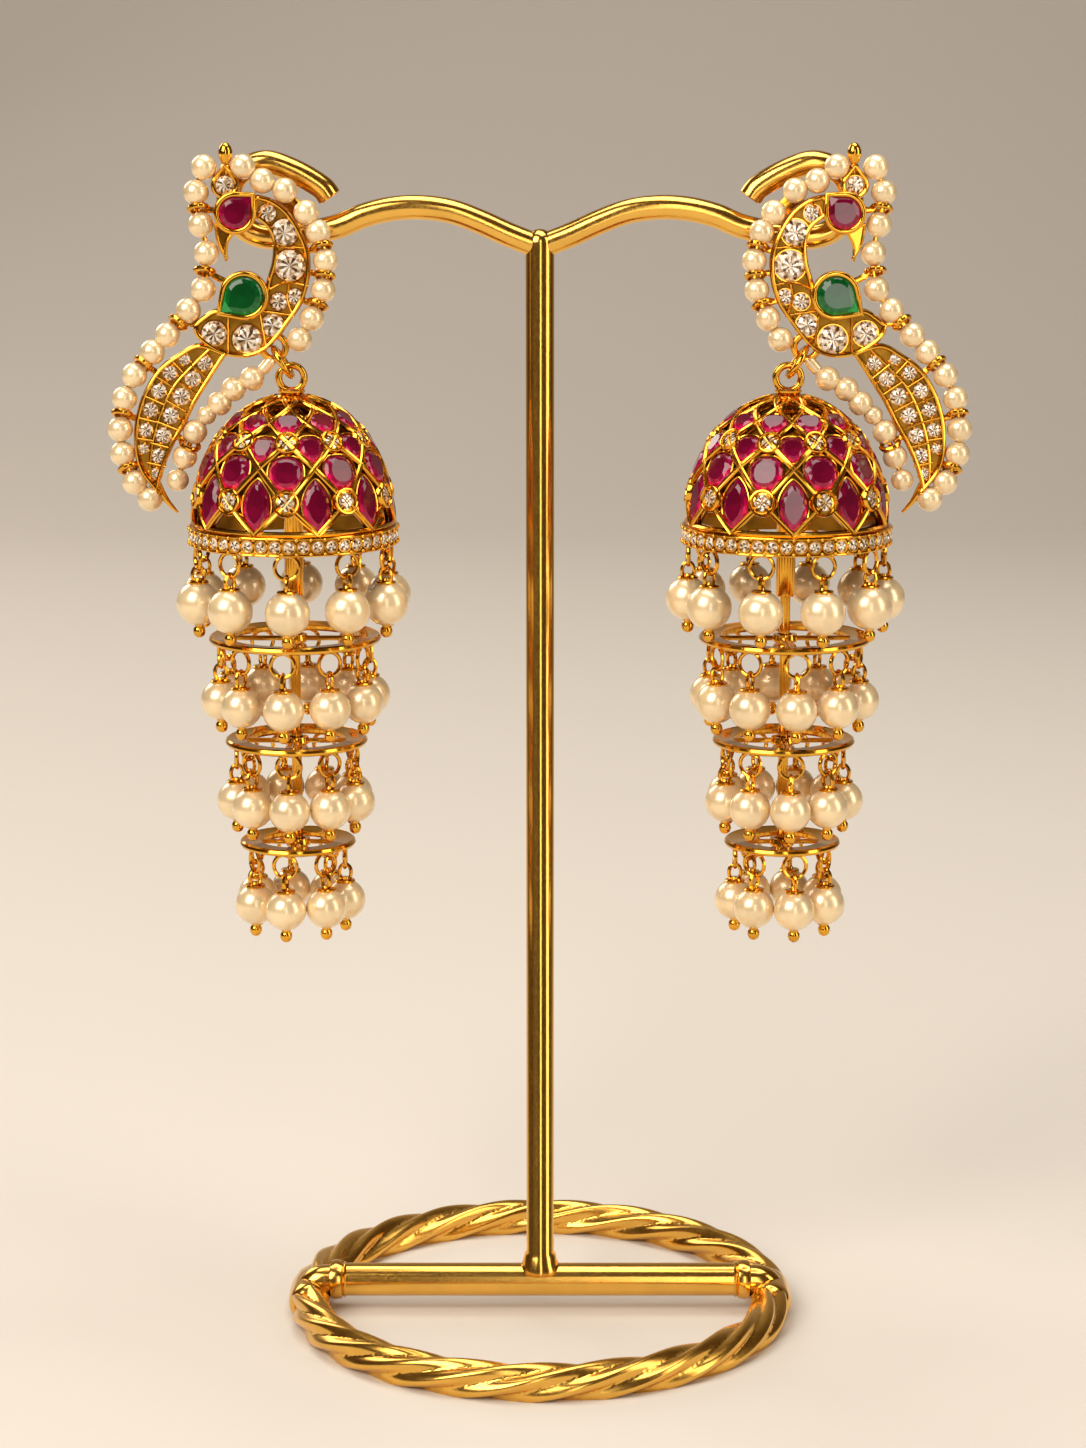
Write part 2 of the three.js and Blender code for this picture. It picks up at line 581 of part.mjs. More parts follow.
// A tier is a flat ring on two crossed spokes and a hub, with its drops
function tier({ outer: outerShare, inner: innerShare, drops, turn }, index) {
  const [outer, inner] = [outerShare * DOME_RADIUS, innerShare * DOME_RADIUS];
  const middle = tierZ(index);
  const top = middle + RING_THICKNESS / 2;
  const ring = flatRing(outer, inner, RING_THICKNESS, top, RING_STEPS);
  const bore = STEM_RADIUS + SEAT_GAP;
  const hub = new THREE.CylinderGeometry(bore + HUB_WALL, bore + HUB_WALL, RING_THICKNESS, 8);
  hub.rotateX(Math.PI / 2);
  hub.translate(0, 0, middle);
  const spokes = [0, Math.PI / 2].map((across) => {
    const spoke = new THREE.BoxGeometry(inner + outer, SPOKE_WIDTH, RING_THICKNESS * 0.7);
    spoke.rotateZ(across);
    spoke.translate(0, 0, middle);
    return spoke;
  });
  const hole = new THREE.CylinderGeometry(bore, bore, 4 * RING_THICKNESS, 8);
  hole.rotateX(Math.PI / 2);
  hole.translate(0, 0, middle);
  const underside = middle - RING_THICKNESS / 2;
  const hanging = dropRing(drops, (outer + inner) / 2, turn, underside, TIER_PEARL_RADIUS);
  return joined([ring, hub, ...spokes, ...hanging]).subtract(solid(hole));
}

// The stem hangs from the dome's crown: a sleeve, then a rod with a collar under each hub
function stem() {
  const top = DOME_BASE_Z + DOME_HEIGHT - DOME_WALL - SEAT_GAP;
  const sleeveEnd = RIM_TOP_Z - RIM_HEIGHT - SLEEVE_DROP;
  const bore = STEM_RADIUS + SEAT_GAP;
  const profile = [[0, top], [SLEEVE_RADIUS, top - SEAT_GAP], [SLEEVE_RADIUS, sleeveEnd], [STEM_RADIUS, sleeveEnd]];
  TIERS.forEach((_, index) => {
    const seat = tierZ(index) - RING_THICKNESS / 2 - SEAT_GAP;
    profile.push([STEM_RADIUS, seat], [bore + HUB_WALL, seat]);
    profile.push([bore + HUB_WALL, seat - STEM_COLLAR_HEIGHT]);
    if (index < TIERS.length - 1) profile.push([STEM_RADIUS, seat - STEM_COLLAR_HEIGHT]);
    else profile.push([0, seat - 2 * STEM_COLLAR_HEIGHT]);
  });
  const rod = new THREE.LatheGeometry(profile.reverse().map(([r, y]) => new THREE.Vector2(r, y)), 6);
  rod.rotateX(Math.PI / 2);
  return rod;
}

const gold = new THREE.MeshStandardMaterial({ color: 0xd9a033, roughness: 0.25, metalness: 1 });
const pearl = new THREE.MeshStandardMaterial({ color: 0xf0dcb8, roughness: 0.3, metalness: 0 });
const ruby = new THREE.MeshStandardMaterial({ color: 0xa0103c, roughness: 0.1, metalness: 0 });
const emerald = new THREE.MeshStandardMaterial({ color: 0x0a6b30, roughness: 0.1, metalness: 0 });

function named(name, shape, material) {
  const geometry = shape.isBufferGeometry ? shape : geometryOf(shape);
  const mesh = new THREE.Mesh(geometry, material);
  mesh.name = name;
  return mesh;
}

// Everything of one earring for the right side; a side of -1 mirrors it for the left
function earring(suffix, side) {
  const facing = (shape) => {
    const geometry = mergeVertices(shape.isBufferGeometry ? shape : geometryOf(shape), 1e-4);
    return side > 0 ? geometry : mirrored(geometry);
  };
  const stud = new THREE.Group();
  stud.position.set(side * POST_X, -STUD_DEPTH, POST_Z);
  stud.add(named(`stud_${suffix}`, facing(studPlate()), gold));
  stud.add(named(`head_ruby_${suffix}`, facing(bezelGem(HEAD)), ruby));
  stud.add(named(`breast_emerald_${suffix}`, facing(bezelGem(BREAST)), emerald));
  for (const name of Object.keys(STRANDS)) {
    stud.add(named(`${name}_${suffix}`, facing(strand(name)), pearl));
  }
  stud.add(named(`ear_post_${suffix}`, facing(earPost()), gold));

  const link = new THREE.Group();
  link.position.set(side * EYELET_X, -STUD_DEPTH, LINK_TOP_Z);
  link.add(named(`link_${suffix}`, facing(jumpLink()), gold));

  const jhumka = new THREE.Group();
  jhumka.position.set(side * JHUMKA_X, -STUD_DEPTH, 0);
  const domeMesh = named(`dome_${suffix}`, facing(dome(BELL_TURN[suffix])), gold);
  domeMesh.position.z = DOME_BASE_Z;
  jhumka.add(domeMesh);
  jhumka.add(named(`rim_${suffix}`, facing(rimBand(BELL_TURN[suffix])), gold));
  jhumka.add(named(`stem_${suffix}`, facing(stem()), gold));
  TIERS.forEach((row, index) => {
    jhumka.add(named(`${row.name}_${suffix}`, facing(tier(row, index)), pearl));
  });

  const whole = new THREE.Group();
  whole.add(stud, link, jhumka);
  return whole;
}

const display = new THREE.Group();
display.add(named('stand_base', standBase(), gold));
display.add(named('stand_tree', standTree(), gold));
display.add(earring('right', 1));
display.add(earring('left', -1));

export default display;
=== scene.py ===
"""A pair of peacock jhumka earrings on a gold T-shaped display stand.

Every surface is worked out with numpy in millimetres, as a grid of points or as a
profile carried along a path, and becomes a mesh in metres.
"""

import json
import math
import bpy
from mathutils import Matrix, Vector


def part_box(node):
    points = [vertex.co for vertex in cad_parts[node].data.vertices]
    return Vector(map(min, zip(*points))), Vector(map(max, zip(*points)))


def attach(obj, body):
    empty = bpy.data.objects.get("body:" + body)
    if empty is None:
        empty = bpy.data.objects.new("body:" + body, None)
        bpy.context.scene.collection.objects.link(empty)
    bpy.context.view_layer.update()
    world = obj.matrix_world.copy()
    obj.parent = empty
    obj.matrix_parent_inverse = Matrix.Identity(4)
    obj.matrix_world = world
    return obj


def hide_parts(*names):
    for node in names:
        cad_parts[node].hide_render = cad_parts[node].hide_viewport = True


bl_info = {
    "name": "Jhumka Earrings on a Stand",
    "version": (1, 0, 0),
    "blender": (4, 5, 0),
    "location": "View3D > Sidebar > Jhumka",
    "description": "Builds a pair of peacock jhumka earrings on a display stand",
    "category": "Object",
}

import bmesh
import bpy
import numpy as np

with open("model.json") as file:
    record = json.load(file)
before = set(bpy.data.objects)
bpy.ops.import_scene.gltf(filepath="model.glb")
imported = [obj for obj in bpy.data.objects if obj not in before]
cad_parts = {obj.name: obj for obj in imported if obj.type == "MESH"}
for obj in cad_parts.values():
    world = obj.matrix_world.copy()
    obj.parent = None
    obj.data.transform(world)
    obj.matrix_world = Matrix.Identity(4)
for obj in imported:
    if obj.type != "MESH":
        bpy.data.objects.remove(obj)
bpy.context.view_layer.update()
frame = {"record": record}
MM = 0.001
SIDES = (("right", 1), ("left", -1))


def span(node):
    """The lowest and highest corner of a node, in millimetres."""
    low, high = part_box(node)
    return np.array(low) / MM, np.array(high) / MM


def pivot(joint):
    """Where a joint turns, in millimetres."""
    found = [j for j in frame["record"]["behaviour"]["joints"] if j["name"] == joint]
    return np.array(found[0]["pos_m"]) / MM


# Places read from the model of the right earring; the left one is its mirror image
SWING = pivot("jhumka_right_swing")
EYELET_WIRE = pivot("link_right_swing")
DOME_BASE = span("dome_right")[0][2]
RIM_TOP = span("rim_right")[1][2]
TIER_TOPS = [span(f"tier_{name}_right")[1][2] for name in ("one", "two", "three")]
STEM_LOW, STEM_HIGH = span("stem_right")[0][2], span("stem_right")[1][2]
POST_LOW, POST_HIGH = span("ear_post_right")
STUD_HEIGHT = 42.5
STUD_DEPTH = -3.8
POST = np.array([(POST_LOW[0] + POST_HIGH[0]) / 2, STUD_DEPTH, (POST_LOW[2] + POST_HIGH[2]) / 2])

# Depths on the stud: its plate, and the front of its two high settings
PLATE_BACK, PLATE_FRONT = 0.6, -0.25
SETTING_FRONT = -1.5
# Play between two wires that hang in each other
LOOP_PLAY = 0.45
# Repeats of the lattice round a bell, drops under its band, and the thickness of a ring of drops
REPEATS = 10
RIM_DROPS = 10
TIER_THICK = 0.9

# How far a clasp's hoop leans to the front, in radians
CLASP_TILT = 0.42

DEPTH_AXIS = (0, 1, 0)
UP_AXIS = (0, 0, 1)
# East, north and outward on the front of the stud
FACING = (np.array([[1.0, 0, 0]]), np.array([[0, 0, 1.0]]), np.array([[0, -1.0, 0]]))

# The photograph's camera: its frame and focal length in pixels, its place, and its dip in degrees
FRAME_HEIGHT = 1448
FOCAL_LENGTH = 3400
CAMERA_AT = (0.00036, -0.405, 0.155)
CAMERA_DIP = 11.2

# The stand: how far the flat foot cuts into the rope, and the crossbar's height above the rope's middle
FOOT_FLAT = 0.75
CROSSBAR_LIFT = 2.1
# An arm's middle line: its arch as shares of the reach and of ARM_RISE, its curl as shares of CURL_RADIUS
ARM_RISE = 4.2
CURL_LIFT = 4.8
CURL_RADIUS = 4.0
ARM_ARCH = [
    (0, -0.1), (0.116, 0.22), (0.234, 0.6), (0.345, 0.885), (0.464, 1), (0.58, 0.955), (0.69, 0.765),
    (0.805, 0.438),
]
ARM_CURL = [
    (0, -1), (0.8, -0.95), (1.4, -0.52), (1.62, 0.1), (1.35, 0.8), (0.55, 1.15), (-0.3, 0.91), (-1.1, 0.45),
    (-1.35, 0.15),
]

# Peacock outlines: [outward, up] from the ear post, as shares of STUD_HEIGHT
BACK_CURVE = [
    (0.065, 0.067), (0.022, 0.054), (-0.022, 0.019), (-0.057, -0.038), (-0.074, -0.086),
    (-0.078, -0.130), (-0.072, -0.178), (-0.054, -0.231), (-0.018, -0.284), (0.028, -0.342),
    (0.064, -0.369), (0.108, -0.380), (0.162, -0.373), (0.206, -0.351), (0.241, -0.320),
    (0.249, -0.288),
]
CHEST_CURVE = [
    (0.249, -0.288), (0.217, -0.262), (0.180, -0.245), (0.110, -0.262), (0.062, -0.235),
    (0.040, -0.160), (0.026, -0.110), (0.025, -0.055), (0.042, -0.020), (0.075, 0.006),
    (0.110, 0.035), (0.065, 0.067),
]
BEAK_FRONT = [(0.186, -0.010), (0.176, -0.070), (0.150, -0.116)]
BEAK_BACK = [(0.150, -0.116), (0.148, -0.070), (0.128, -0.025), (0.186, -0.010)]
TAIL_OUTSIDE = [
    (0.150, -0.366), (0.231, -0.340), (0.295, -0.370), (0.347, -0.410), (0.386, -0.470),
    (0.408, -0.529), (0.418, -0.589), (0.415, -0.656), (0.400, -0.701), (0.372, -0.739),
    (0.348, -0.764),
]
TAIL_INSIDE = [
    (0.348, -0.764), (0.350, -0.735), (0.336, -0.686), (0.310, -0.626), (0.276, -0.567),
    (0.245, -0.507), (0.207, -0.447), (0.165, -0.384), (0.150, -0.366),
]
HOOK = [(0.372, -0.730), (0.345, -0.775), (0.313, -0.812)]

# Stones of the body: [outward, up] shares, then the radius in millimetres
BODY_STONES = [
    (0.038, 0.017, 1.04), (-0.009, -0.036, 1.61), (-0.022, -0.126, 1.85),
    (-0.034, -0.211, 0.94), (0.010, -0.225, 1.04), (0.027, -0.289, 1.36),
    (0.099, -0.329, 1.74), (0.189, -0.313, 1.50), (0.153, 0.093, 1.10),
]
# Stones of the tail: the outer column, then the inner one
TAIL_STONES = [
    (0.273, -0.384, 0.66), (0.314, -0.421, 0.85), (0.346, -0.471, 0.90),
    (0.370, -0.524, 0.88), (0.384, -0.580, 0.82), (0.392, -0.632, 0.60),
    (0.216, -0.395, 0.88), (0.251, -0.438, 0.94), (0.284, -0.487, 1.01),
    (0.314, -0.540, 0.96), (0.336, -0.595, 0.94), (0.351, -0.651, 0.88), (0.362, -0.702, 0.69),
]
# Fine wires that part the body into cells, and the one down the middle of the tail
CELL_WIRES = [
    [(0.026, 0.056), (0.062, 0.008)],
    [(-0.062, -0.078), (0.026, -0.072)],
    [(-0.073, -0.182), (-0.010, -0.172), (0.034, -0.190)],
    [(-0.020, -0.176), (-0.014, -0.215), (-0.030, -0.268)],
    [(-0.022, -0.262), (0.060, -0.250)],
    [(0.062, -0.258), (0.046, -0.352)],
    [(0.150, -0.262), (0.152, -0.372)],
]
TAIL_SPINE = [
    (0.200, -0.352), (0.258, -0.408), (0.299, -0.452), (0.330, -0.504), (0.352, -0.560),
    (0.367, -0.615), (0.374, -0.670), (0.372, -0.735),
]

# Teardrop settings: centre shares, how far the tip stands out, where it points, radius
HEAD = ((0.125, 0.018), 1.39, math.radians(135), 2.4)
BREAST = ((0.104, -0.207), 1.44, math.radians(-35), 2.8)
CREST = ((0.153, 0.093), 1.55, math.radians(90), 1.55)
CREST_BALL = (0.151, 0.178)
EYELET = (0.026, -0.351)

# Strings of pearls: pearl centres as shares, and after which pearls a clasp wire sits
STRINGS = {
    "outer": ([
        (0.211, 0.141), (0.234, 0.073), (0.222, -0.015), (0.208, -0.093), (0.219, -0.192),
        (0.261, -0.250), (0.320, -0.318), (0.363, -0.365), (0.414, -0.429), (0.443, -0.494),
        (0.457, -0.579), (0.452, -0.648), (0.420, -0.727), (0.378, -0.774),
    ], 1.52, (1, 3, 5, 7, 9, 11)),
    "neck": ([
        (0.104, 0.143), (0.051, 0.104), (-0.010, 0.078), (-0.068, 0.018), (-0.100, -0.035),
        (-0.120, -0.114), (-0.112, -0.195), (-0.080, -0.272), (-0.045, -0.330),
    ], 1.49, (4, 5, 6)),
    "inner": ([
        (0.300, -0.721), (0.279, -0.656), (0.249, -0.586), (0.216, -0.540), (0.180, -0.507),
        (0.140, -0.467), (0.088, -0.438),
    ], 1.48, (1,)),
}

# How each bell hangs on its link: the left one has come to rest half a repeat further round
BELL_TURN = {"right": 0.0, "left": math.pi / REPEATS}
# Rows where the ribs of the dome cross: the angle up from its base
RIB_RISE = np.radians([0, 14.2, 30, 43.3, 55.3, 67, 80])
# Red stones of one repeat of the dome: turn, rise in degrees, half width, half height, shape
DOME_RUBIES = [
    (1, 12.6, 1.70, 3.15, "marquise"),
    (0, 28.0, 2.02, 2.05, "cushion"),
    (1, 40.2, 1.42, 1.62, "pear"),
    (0, 56.0, 1.68, 1.42, "pear"),
]
# Crystals of one repeat of the dome: turn, row of crossings, radius of the setting
DOME_CRYSTALS = [(0, 1, 1.68), (0, 3, 1.50)]
# Rings of drops: outer and inner radius, how many drops, and how far the first one is from the front
TIER_RINGS = [
    ("one", 10.3, 7.7, 10, math.radians(5.5)),
    ("two", 8.55, 5.9, 9, math.radians(3.5)),
    ("three", 7.0, 4.3, 7, math.radians(12)),
]


def linear(hex_colour):
    """An sRGB hex colour as linear red, green, blue and full alpha."""
    values = np.array([int(hex_colour[i:i + 2], 16) for i in (1, 3, 5)]) / 255
    values = np.where(values <= 0.04045, values / 12.92, ((values + 0.055) / 1.055) ** 2.4)
    return (*values.tolist(), 1.0)


def length_property(name, description, default):
    """A length in metres that a user may change."""
    return bpy.props.FloatProperty(name=name, description=description, default=default, unit="LENGTH")


def number_property(name, description, default):
    """A number of like things that a user may change."""
    return bpy.props.IntProperty(name=name, description=description, default=default)


def colour_property(name, description, hex_colour):
    """A colour that a user may change, kept as linear values."""
    return bpy.props.FloatVectorProperty(
        name=name, description=description, subtype="COLOR", default=linear(hex_colour)[:3])


class StandSizes(bpy.types.PropertyGroup):
    """Sizes of the display stand."""

    ring_radius: length_property("Ring Radius", "Middle of the base ring's rope", 0.0289)
    rope_radius: length_property("Rope Radius", "Half the thickness of the rope", 0.00245)
    rope_ridges: number_property("Rope Ridges", "Strand ridges that cross the ring's outside", 22)
    crossbar_radius: length_property("Crossbar Radius", "Radius of the bar across the ring", 0.00205)
    column_radius: length_property("Column Radius", "Radius of the upright", 0.0017)
    column_height: length_property("Column Height", "Height where the arms leave the upright", 0.1327)
    arm_radius: length_property("Arm Radius", "Radius of the two arms", 0.00145)
    arm_reach: length_property("Arm Reach", "From the column to the middle of a curl", 0.0302)


class EarringSizes(bpy.types.PropertyGroup):
    """Sizes of one earring."""

    wire_radius: length_property("Wire Radius", "Radius of the link's wire", 0.0004)
    link_radius: length_property("Link Radius", "Radius of the jump link", 0.0019)
    dome_radius: length_property("Dome Radius", "Radius of the bell at its mouth", 0.0119)
    dome_height: length_property("Dome Height", "Height of the bell", 0.0151)
    rim_height: length_property("Rim Height", "Height of the paved band", 0.0021)
    rim_stones: number_property("Rim Stones", "Stones round the paved band", 46)
    rim_pearl: length_property("Rim Pearl Radius", "Radius of the pearls under the bell", 0.00266)
    tier_pearl: length_property("Tier Pearl Radius", "Radius of the pearls under the rings", 0.00246)
    drop_hang: length_property("Drop Hang", "From a ring's underside to the middle of its pearls", 0.0068)


class Finishes(bpy.types.PropertyGroup):
    """Colours of the metal, the pearls, the stones and the backdrop."""

    gold: colour_property("Gold", "Colour of the jewellery's plating", "#EDAE3C")
    stand_gold: colour_property("Stand Gold", "Colour of the stand's plating", "#EFBB58")
    nacre: colour_property("Nacre", "Colour of the pearls", "#F5DCAE")
    red_glass: colour_property("Red Glass", "Colour of the red stones", "#9C0A40")
    green_glass: colour_property("Green Glass", "Colour of the green stones", "#08702F")
    backdrop: colour_property("Backdrop", "Colour of the floor and the sweep behind", "#D6CFC6")


# Surfaces. A shape is its points and a list of face arrays, with one array per face size.


def grid(points, wrap_u=False, wrap_v=False):
    """Quads over points[u, v], each joining a point to its next ones along u and v."""
    rows, columns = points.shape[:2]
    ids = np.arange(rows * columns).reshape(rows, columns)
    if wrap_u:
        ids = np.vstack([ids, ids[:1]])
    if wrap_v:
        ids = np.hstack([ids, ids[:, :1]])
    quads = np.stack([ids[:-1, :-1], ids[:-1, 1:], ids[1:, 1:], ids[1:, :-1]], axis=-1)
    return points.reshape(-1, 3), [quads.reshape(-1, 4)]


def together(*shapes):
    """Several shapes as one, each with its faces counted on from the last."""
    points, faces, start = [], [], 0
    for shape_points, shape_faces in shapes:
        points.append(shape_points)
        faces += [block + start for block in shape_faces]
        start += len(shape_points)
    return np.vstack(points), faces


def copies(shape, places):
    """A copy of the shape for each place: places[k] holds three axes and then an origin, as columns."""
    points, faces = shape
    placed = np.einsum("kij,nj->kni", places[:, :, :3], points) + places[:, None, :, 3]
    shift = np.arange(len(places)) * len(points)
    blocks = [(block[None] + shift[:, None, None]).reshape(-1, block.shape[1]) for block in faces]
    return placed.reshape(-1, 3), blocks


def mirrored(shape):
    """The shape across the plane X = 0, with its faces turned back to point outwards."""
    points, faces = shape
    return points * (-1, 1, 1), [block[:, ::-1] for block in faces]


def moved(shape, offset):
    """The shape shifted by an offset."""
    points, faces = shape
    return points + np.asarray(offset), faces


def upright(shape):
    """The shape with its Y and Z exchanged, so that a ring made flat stands facing the front."""
    points, faces = shape
    return points[:, [0, 2, 1]], faces


def turned(shape, angle):
    """The shape turned about the upright line through the bell."""
    points, faces = shape
    x, y = points[:, 0] - SWING[0], points[:, 1] - SWING[1]
    c, s = math.cos(angle), math.sin(angle)
    return np.column_stack([SWING[0] + c * x - s * y, SWING[1] + s * x + c * y, points[:, 2]]), faces


def place(east, north, out, origin, scale=1.0):
    """Places for copies: arrays of unit axes and origins, with the axes scaled."""
    scale = np.reshape(scale, (-1, 1))
    columns = np.broadcast_arrays(east * scale, north * scale, out * scale, origin)
    return np.stack(columns, axis=-1)


def lathe(profile, steps, closed=False):
    """A profile of (radius, height) points turned about Z: x = r cos t, y = r sin t; closed joins its ends."""
    radius, height = np.array(profile, float).T
    turn = np.linspace(0, 2 * np.pi, steps, endpoint=False)
    points = np.stack([
        radius[:, None] * np.cos(turn), radius[:, None] * np.sin(turn),
        np.broadcast_to(height[:, None], (len(radius), steps)),
    ], axis=-1)
    return grid(points, wrap_u=closed, wrap_v=True)


def ball(radius, steps=24, bands=12):
    """A sphere as a half circle turned about Z."""
    rise = np.linspace(-np.pi / 2, np.pi / 2, bands + 1)
    return lathe(np.stack([radius * np.cos(rise), radius * np.sin(rise)], axis=-1), steps)


def torus(radius, wire, steps=32, sides=10, stretch=1.0):
    """A wire ring about Z, stretched along Y."""
    along = np.linspace(0, 2 * np.pi, steps, endpoint=False)[:, None]
    around = np.linspace(0, 2 * np.pi, sides, endpoint=False)[None]
    out = radius + wire * np.cos(around)
    points = np.stack([out * np.cos(along), out * np.sin(along), wire * np.sin(around) + 0 * along], axis=-1)
    points[..., 1] += (stretch - 1) * radius * np.sin(along)
    return grid(points, wrap_u=True, wrap_v=True)


def circle_section(radius, sides):
    """Points of a circle, to carry along a path."""
    turn = np.linspace(0, 2 * np.pi, sides, endpoint=False)
    return np.stack([radius * np.cos(turn), radius * np.sin(turn)], axis=-1)


def unit(vectors):
    """Vectors with length one."""
    return vectors / np.linalg.norm(vectors, axis=-1, keepdims=True)


def sweep(path, section, up, closed=False, taper=None):
    """A section carried along a path: path + a (tangent x up) + b up, closed at its ends by a point."""
    path = np.asarray(path, float)
    if closed:
        tangent = unit(np.roll(path, -1, 0) - np.roll(path, 1, 0))
    else:
        tangent = unit(np.gradient(path, axis=0))
    up = np.broadcast_to(np.asarray(up, float), path.shape)
    up = unit(up - np.sum(up * tangent, -1, keepdims=True) * tangent)
    side = np.cross(tangent, up)
    size = np.ones(len(path)) if taper is None else np.asarray(taper, float)
    offset = section[None, :, :1] * side[:, None] + section[None, :, 1:] * up[:, None]
    points = path[:, None] + offset * size[:, None, None]
    if closed:
        return grid(points, wrap_u=True, wrap_v=True)
    caps = np.broadcast_to(path[[0, -1], None], (2, len(section), 3))
    return grid(np.concatenate([caps[:1], points, caps[1:]]), wrap_v=True)


def curve(points, count):
    """A smooth open curve through points: Catmull-Rom spans, evenly spaced by length."""
    points = np.asarray(points, float)
    if len(points) == 2:
        return points[0] + (points[1] - points[0]) * np.linspace(0, 1, count)[:, None]
    padded = np.vstack([2 * points[0] - points[1], points, 2 * points[-1] - points[-2]])
    at = np.linspace(0, len(points) - 1, 24 * len(points))
    span_index = np.minimum(at.astype(int), len(points) - 2)
    t = (at - span_index)[:, None]
    a, b, c, d = (padded[span_index + k] for k in range(4))
    fine = 0.5 * (2 * b + (c - a) * t + (2 * a - 5 * b + 4 * c - d) * t**2 + (3 * b - a - 3 * c + d) * t**3)
    length = np.concatenate([[0], np.cumsum(np.linalg.norm(np.diff(fine, axis=0), axis=1))])
    wanted = np.linspace(0, length[-1], count)
    return np.stack([np.interp(wanted, length, fine[:, k]) for k in range(points.shape[1])], axis=-1)


def outline(*runs, count=40):
    """A closed outline with a corner where one smooth run meets the next."""
    return np.vstack([curve(np.array(run), count)[:-1] for run in runs])


def shrunk(flat, distance):
    """A closed outline moved inwards by a distance, along the normals of its corners."""
    tangent = unit(np.roll(flat, -1, 0) - np.roll(flat, 1, 0))
    normal = np.stack([tangent[:, 1], -tangent[:, 0]], axis=-1)
    x, y = flat.T
    area = np.sum(x * np.roll(y, -1) - np.roll(x, -1) * y)
    return flat - np.sign(area) * distance * normal


def stud_points(flat, y):
    """Outline points in millimetres from the post become points of the right stud at depth y."""
    flat = np.asarray(flat, float)
    return np.stack([POST[0] + flat[:, 0], np.full(len(flat), POST[1] + y), POST[2] + flat[:, 1]], axis=-1)


def slab(flat, back, front):
    """A plate between two depths: its outline as a front face, a back face and a wall."""
    count = len(flat)
    points = np.vstack([stud_points(flat, front), stud_points(flat, back)])
    ids = np.arange(count)
    wall = np.stack([ids, np.roll(ids, -1), np.roll(ids, -1) + count, ids + count], axis=-1)
    return points, [ids[None], ids[None, ::-1] + count, wall]


def shell(outer, inner):
    """Two grids of the same size joined along their edges into one closed thin wall."""
    wall = np.stack([
        np.concatenate([points[0], points[1:-1, -1], points[-1][::-1], points[-2:0:-1, 0]])
        for points in (outer, inner)
    ])
    front, back, edge = grid(outer), grid(inner[::-1]), grid(wall, wrap_v=True)
    return together(front, back, edge)


def closed_wall(outside, inside, back, front):
    """A ring of wall between two outlines, from one depth to another."""
    rows = [(outside, back), (outside, front), (inside, front), (inside, back)]
    points = np.stack([stud_points(flat, y) for flat, y in rows])
    return grid(points, wrap_u=True, wrap_v=True)


def stud_wire(flat, y, section, closed=False, taper=None):
    """A section carried along flat points of the right stud, at depth y."""
    return sweep(stud_points(flat, y), section, DEPTH_AXIS, closed, taper)


def stud_places(rows, y):
    """Places on the right stud, facing the front, from rows of [outward, up] shares and a radius."""
    rows = np.array(rows)
    return place(*FACING, stud_points(rows[:, :2] * STUD_HEIGHT, y), rows[:, 2])


def ring_axes(turn):
    """Outward, sideways and upward unit vectors for turns about Z."""
    out = np.stack([np.cos(turn), np.sin(turn), 0 * turn], -1)
    way = np.stack([-np.sin(turn), np.cos(turn), 0 * turn], -1)
    return out, way, np.broadcast_to([0, 0, 1.0], out.shape)


def shares(points):
    """Shares of the stud's height become millimetres."""
    return np.asarray(points, float) * STUD_HEIGHT


def teardrop(setting, trim=0.0, count=36):
    """A circle drawn out to one tip: the arc stops where the tip's tangents leave it."""
    (x, z), reach, angle, radius = setting
    radius = radius - trim
    opening = math.acos(1 / reach)
    turn = angle + opening + np.linspace(0, 2 * np.pi - 2 * opening, count)
    arc = np.stack([np.cos(turn), np.sin(turn)], axis=-1)
    tip = reach * np.array([[math.cos(angle), math.sin(angle)]])
    return np.array([x, z]) * STUD_HEIGHT + radius * np.vstack([tip, arc])


def cut_stone(flat, crown, depth, table=0.6):
    """A faceted stone over an outline: a fanned table, two rows of crown facets, girdle and back."""
    middle = (flat.max(0) + flat.min(0)) / 2
    between = (flat + np.roll(flat, -1, 0)) / 2
    rows = [
        (flat, table, crown), (between, (1 + table) / 2 + 0.02, 0.62 * crown), (flat, 1.0, 0.0),
        (flat, 0.55, -depth)
    ]
    points = np.vstack([
        np.column_stack([middle + (row - middle) * share, np.full(len(row), height)])
        for row, share, height in rows
    ] + [[[*middle, crown]]])
    count = len(flat)
    ids = np.arange(count)
    after = np.roll(ids, -1)
    fan = np.stack([ids, after, 0 * ids + 4 * count], -1)
    star = [np.stack([ids, count + ids, after], -1), np.stack([after, count + ids, count + after], -1)]
    kite = [
        np.stack([count + ids, 2 * count + ids, 2 * count + after], -1),
        np.stack([count + ids, 2 * count + after, count + after], -1),
    ]
    back = np.stack([2 * count + ids, 3 * count + ids, 3 * count + after, 2 * count + after], -1)
    return points, [fan, *star, *kite, back, 3 * count + ids[None, ::-1]]


def glass_painted_light(flat, copies_made=1, contrast=1.0):
    """The painted light of each facet of a glass stone: painted shade dark at the table and above, a painted glow
    bright low on the crown.
    """
    around = flat - (flat.max(0) + flat.min(0)) / 2
    upward = unit(around)[:, 1]
    # Higher values are darker: alternate facets are painted lighter and darker as painted glints, the table and upper
    # facets take painted shade, and the lower crown a painted glow
    flip = 0.10 * (-1.0) ** np.arange(len(flat))
    table = 0.88 + 0.09 * upward
    rows = [
        table, 0.66 + 0.26 * upward, 0.62 + 0.26 * upward + flip, 0.42 + 0.34 * upward - flip,
        0.38 + 0.36 * upward + flip, 0 * table, np.zeros(1)
    ]
    return 0.84 + contrast * (np.concatenate([np.tile(row, copies_made) for row in rows]) - 0.84)


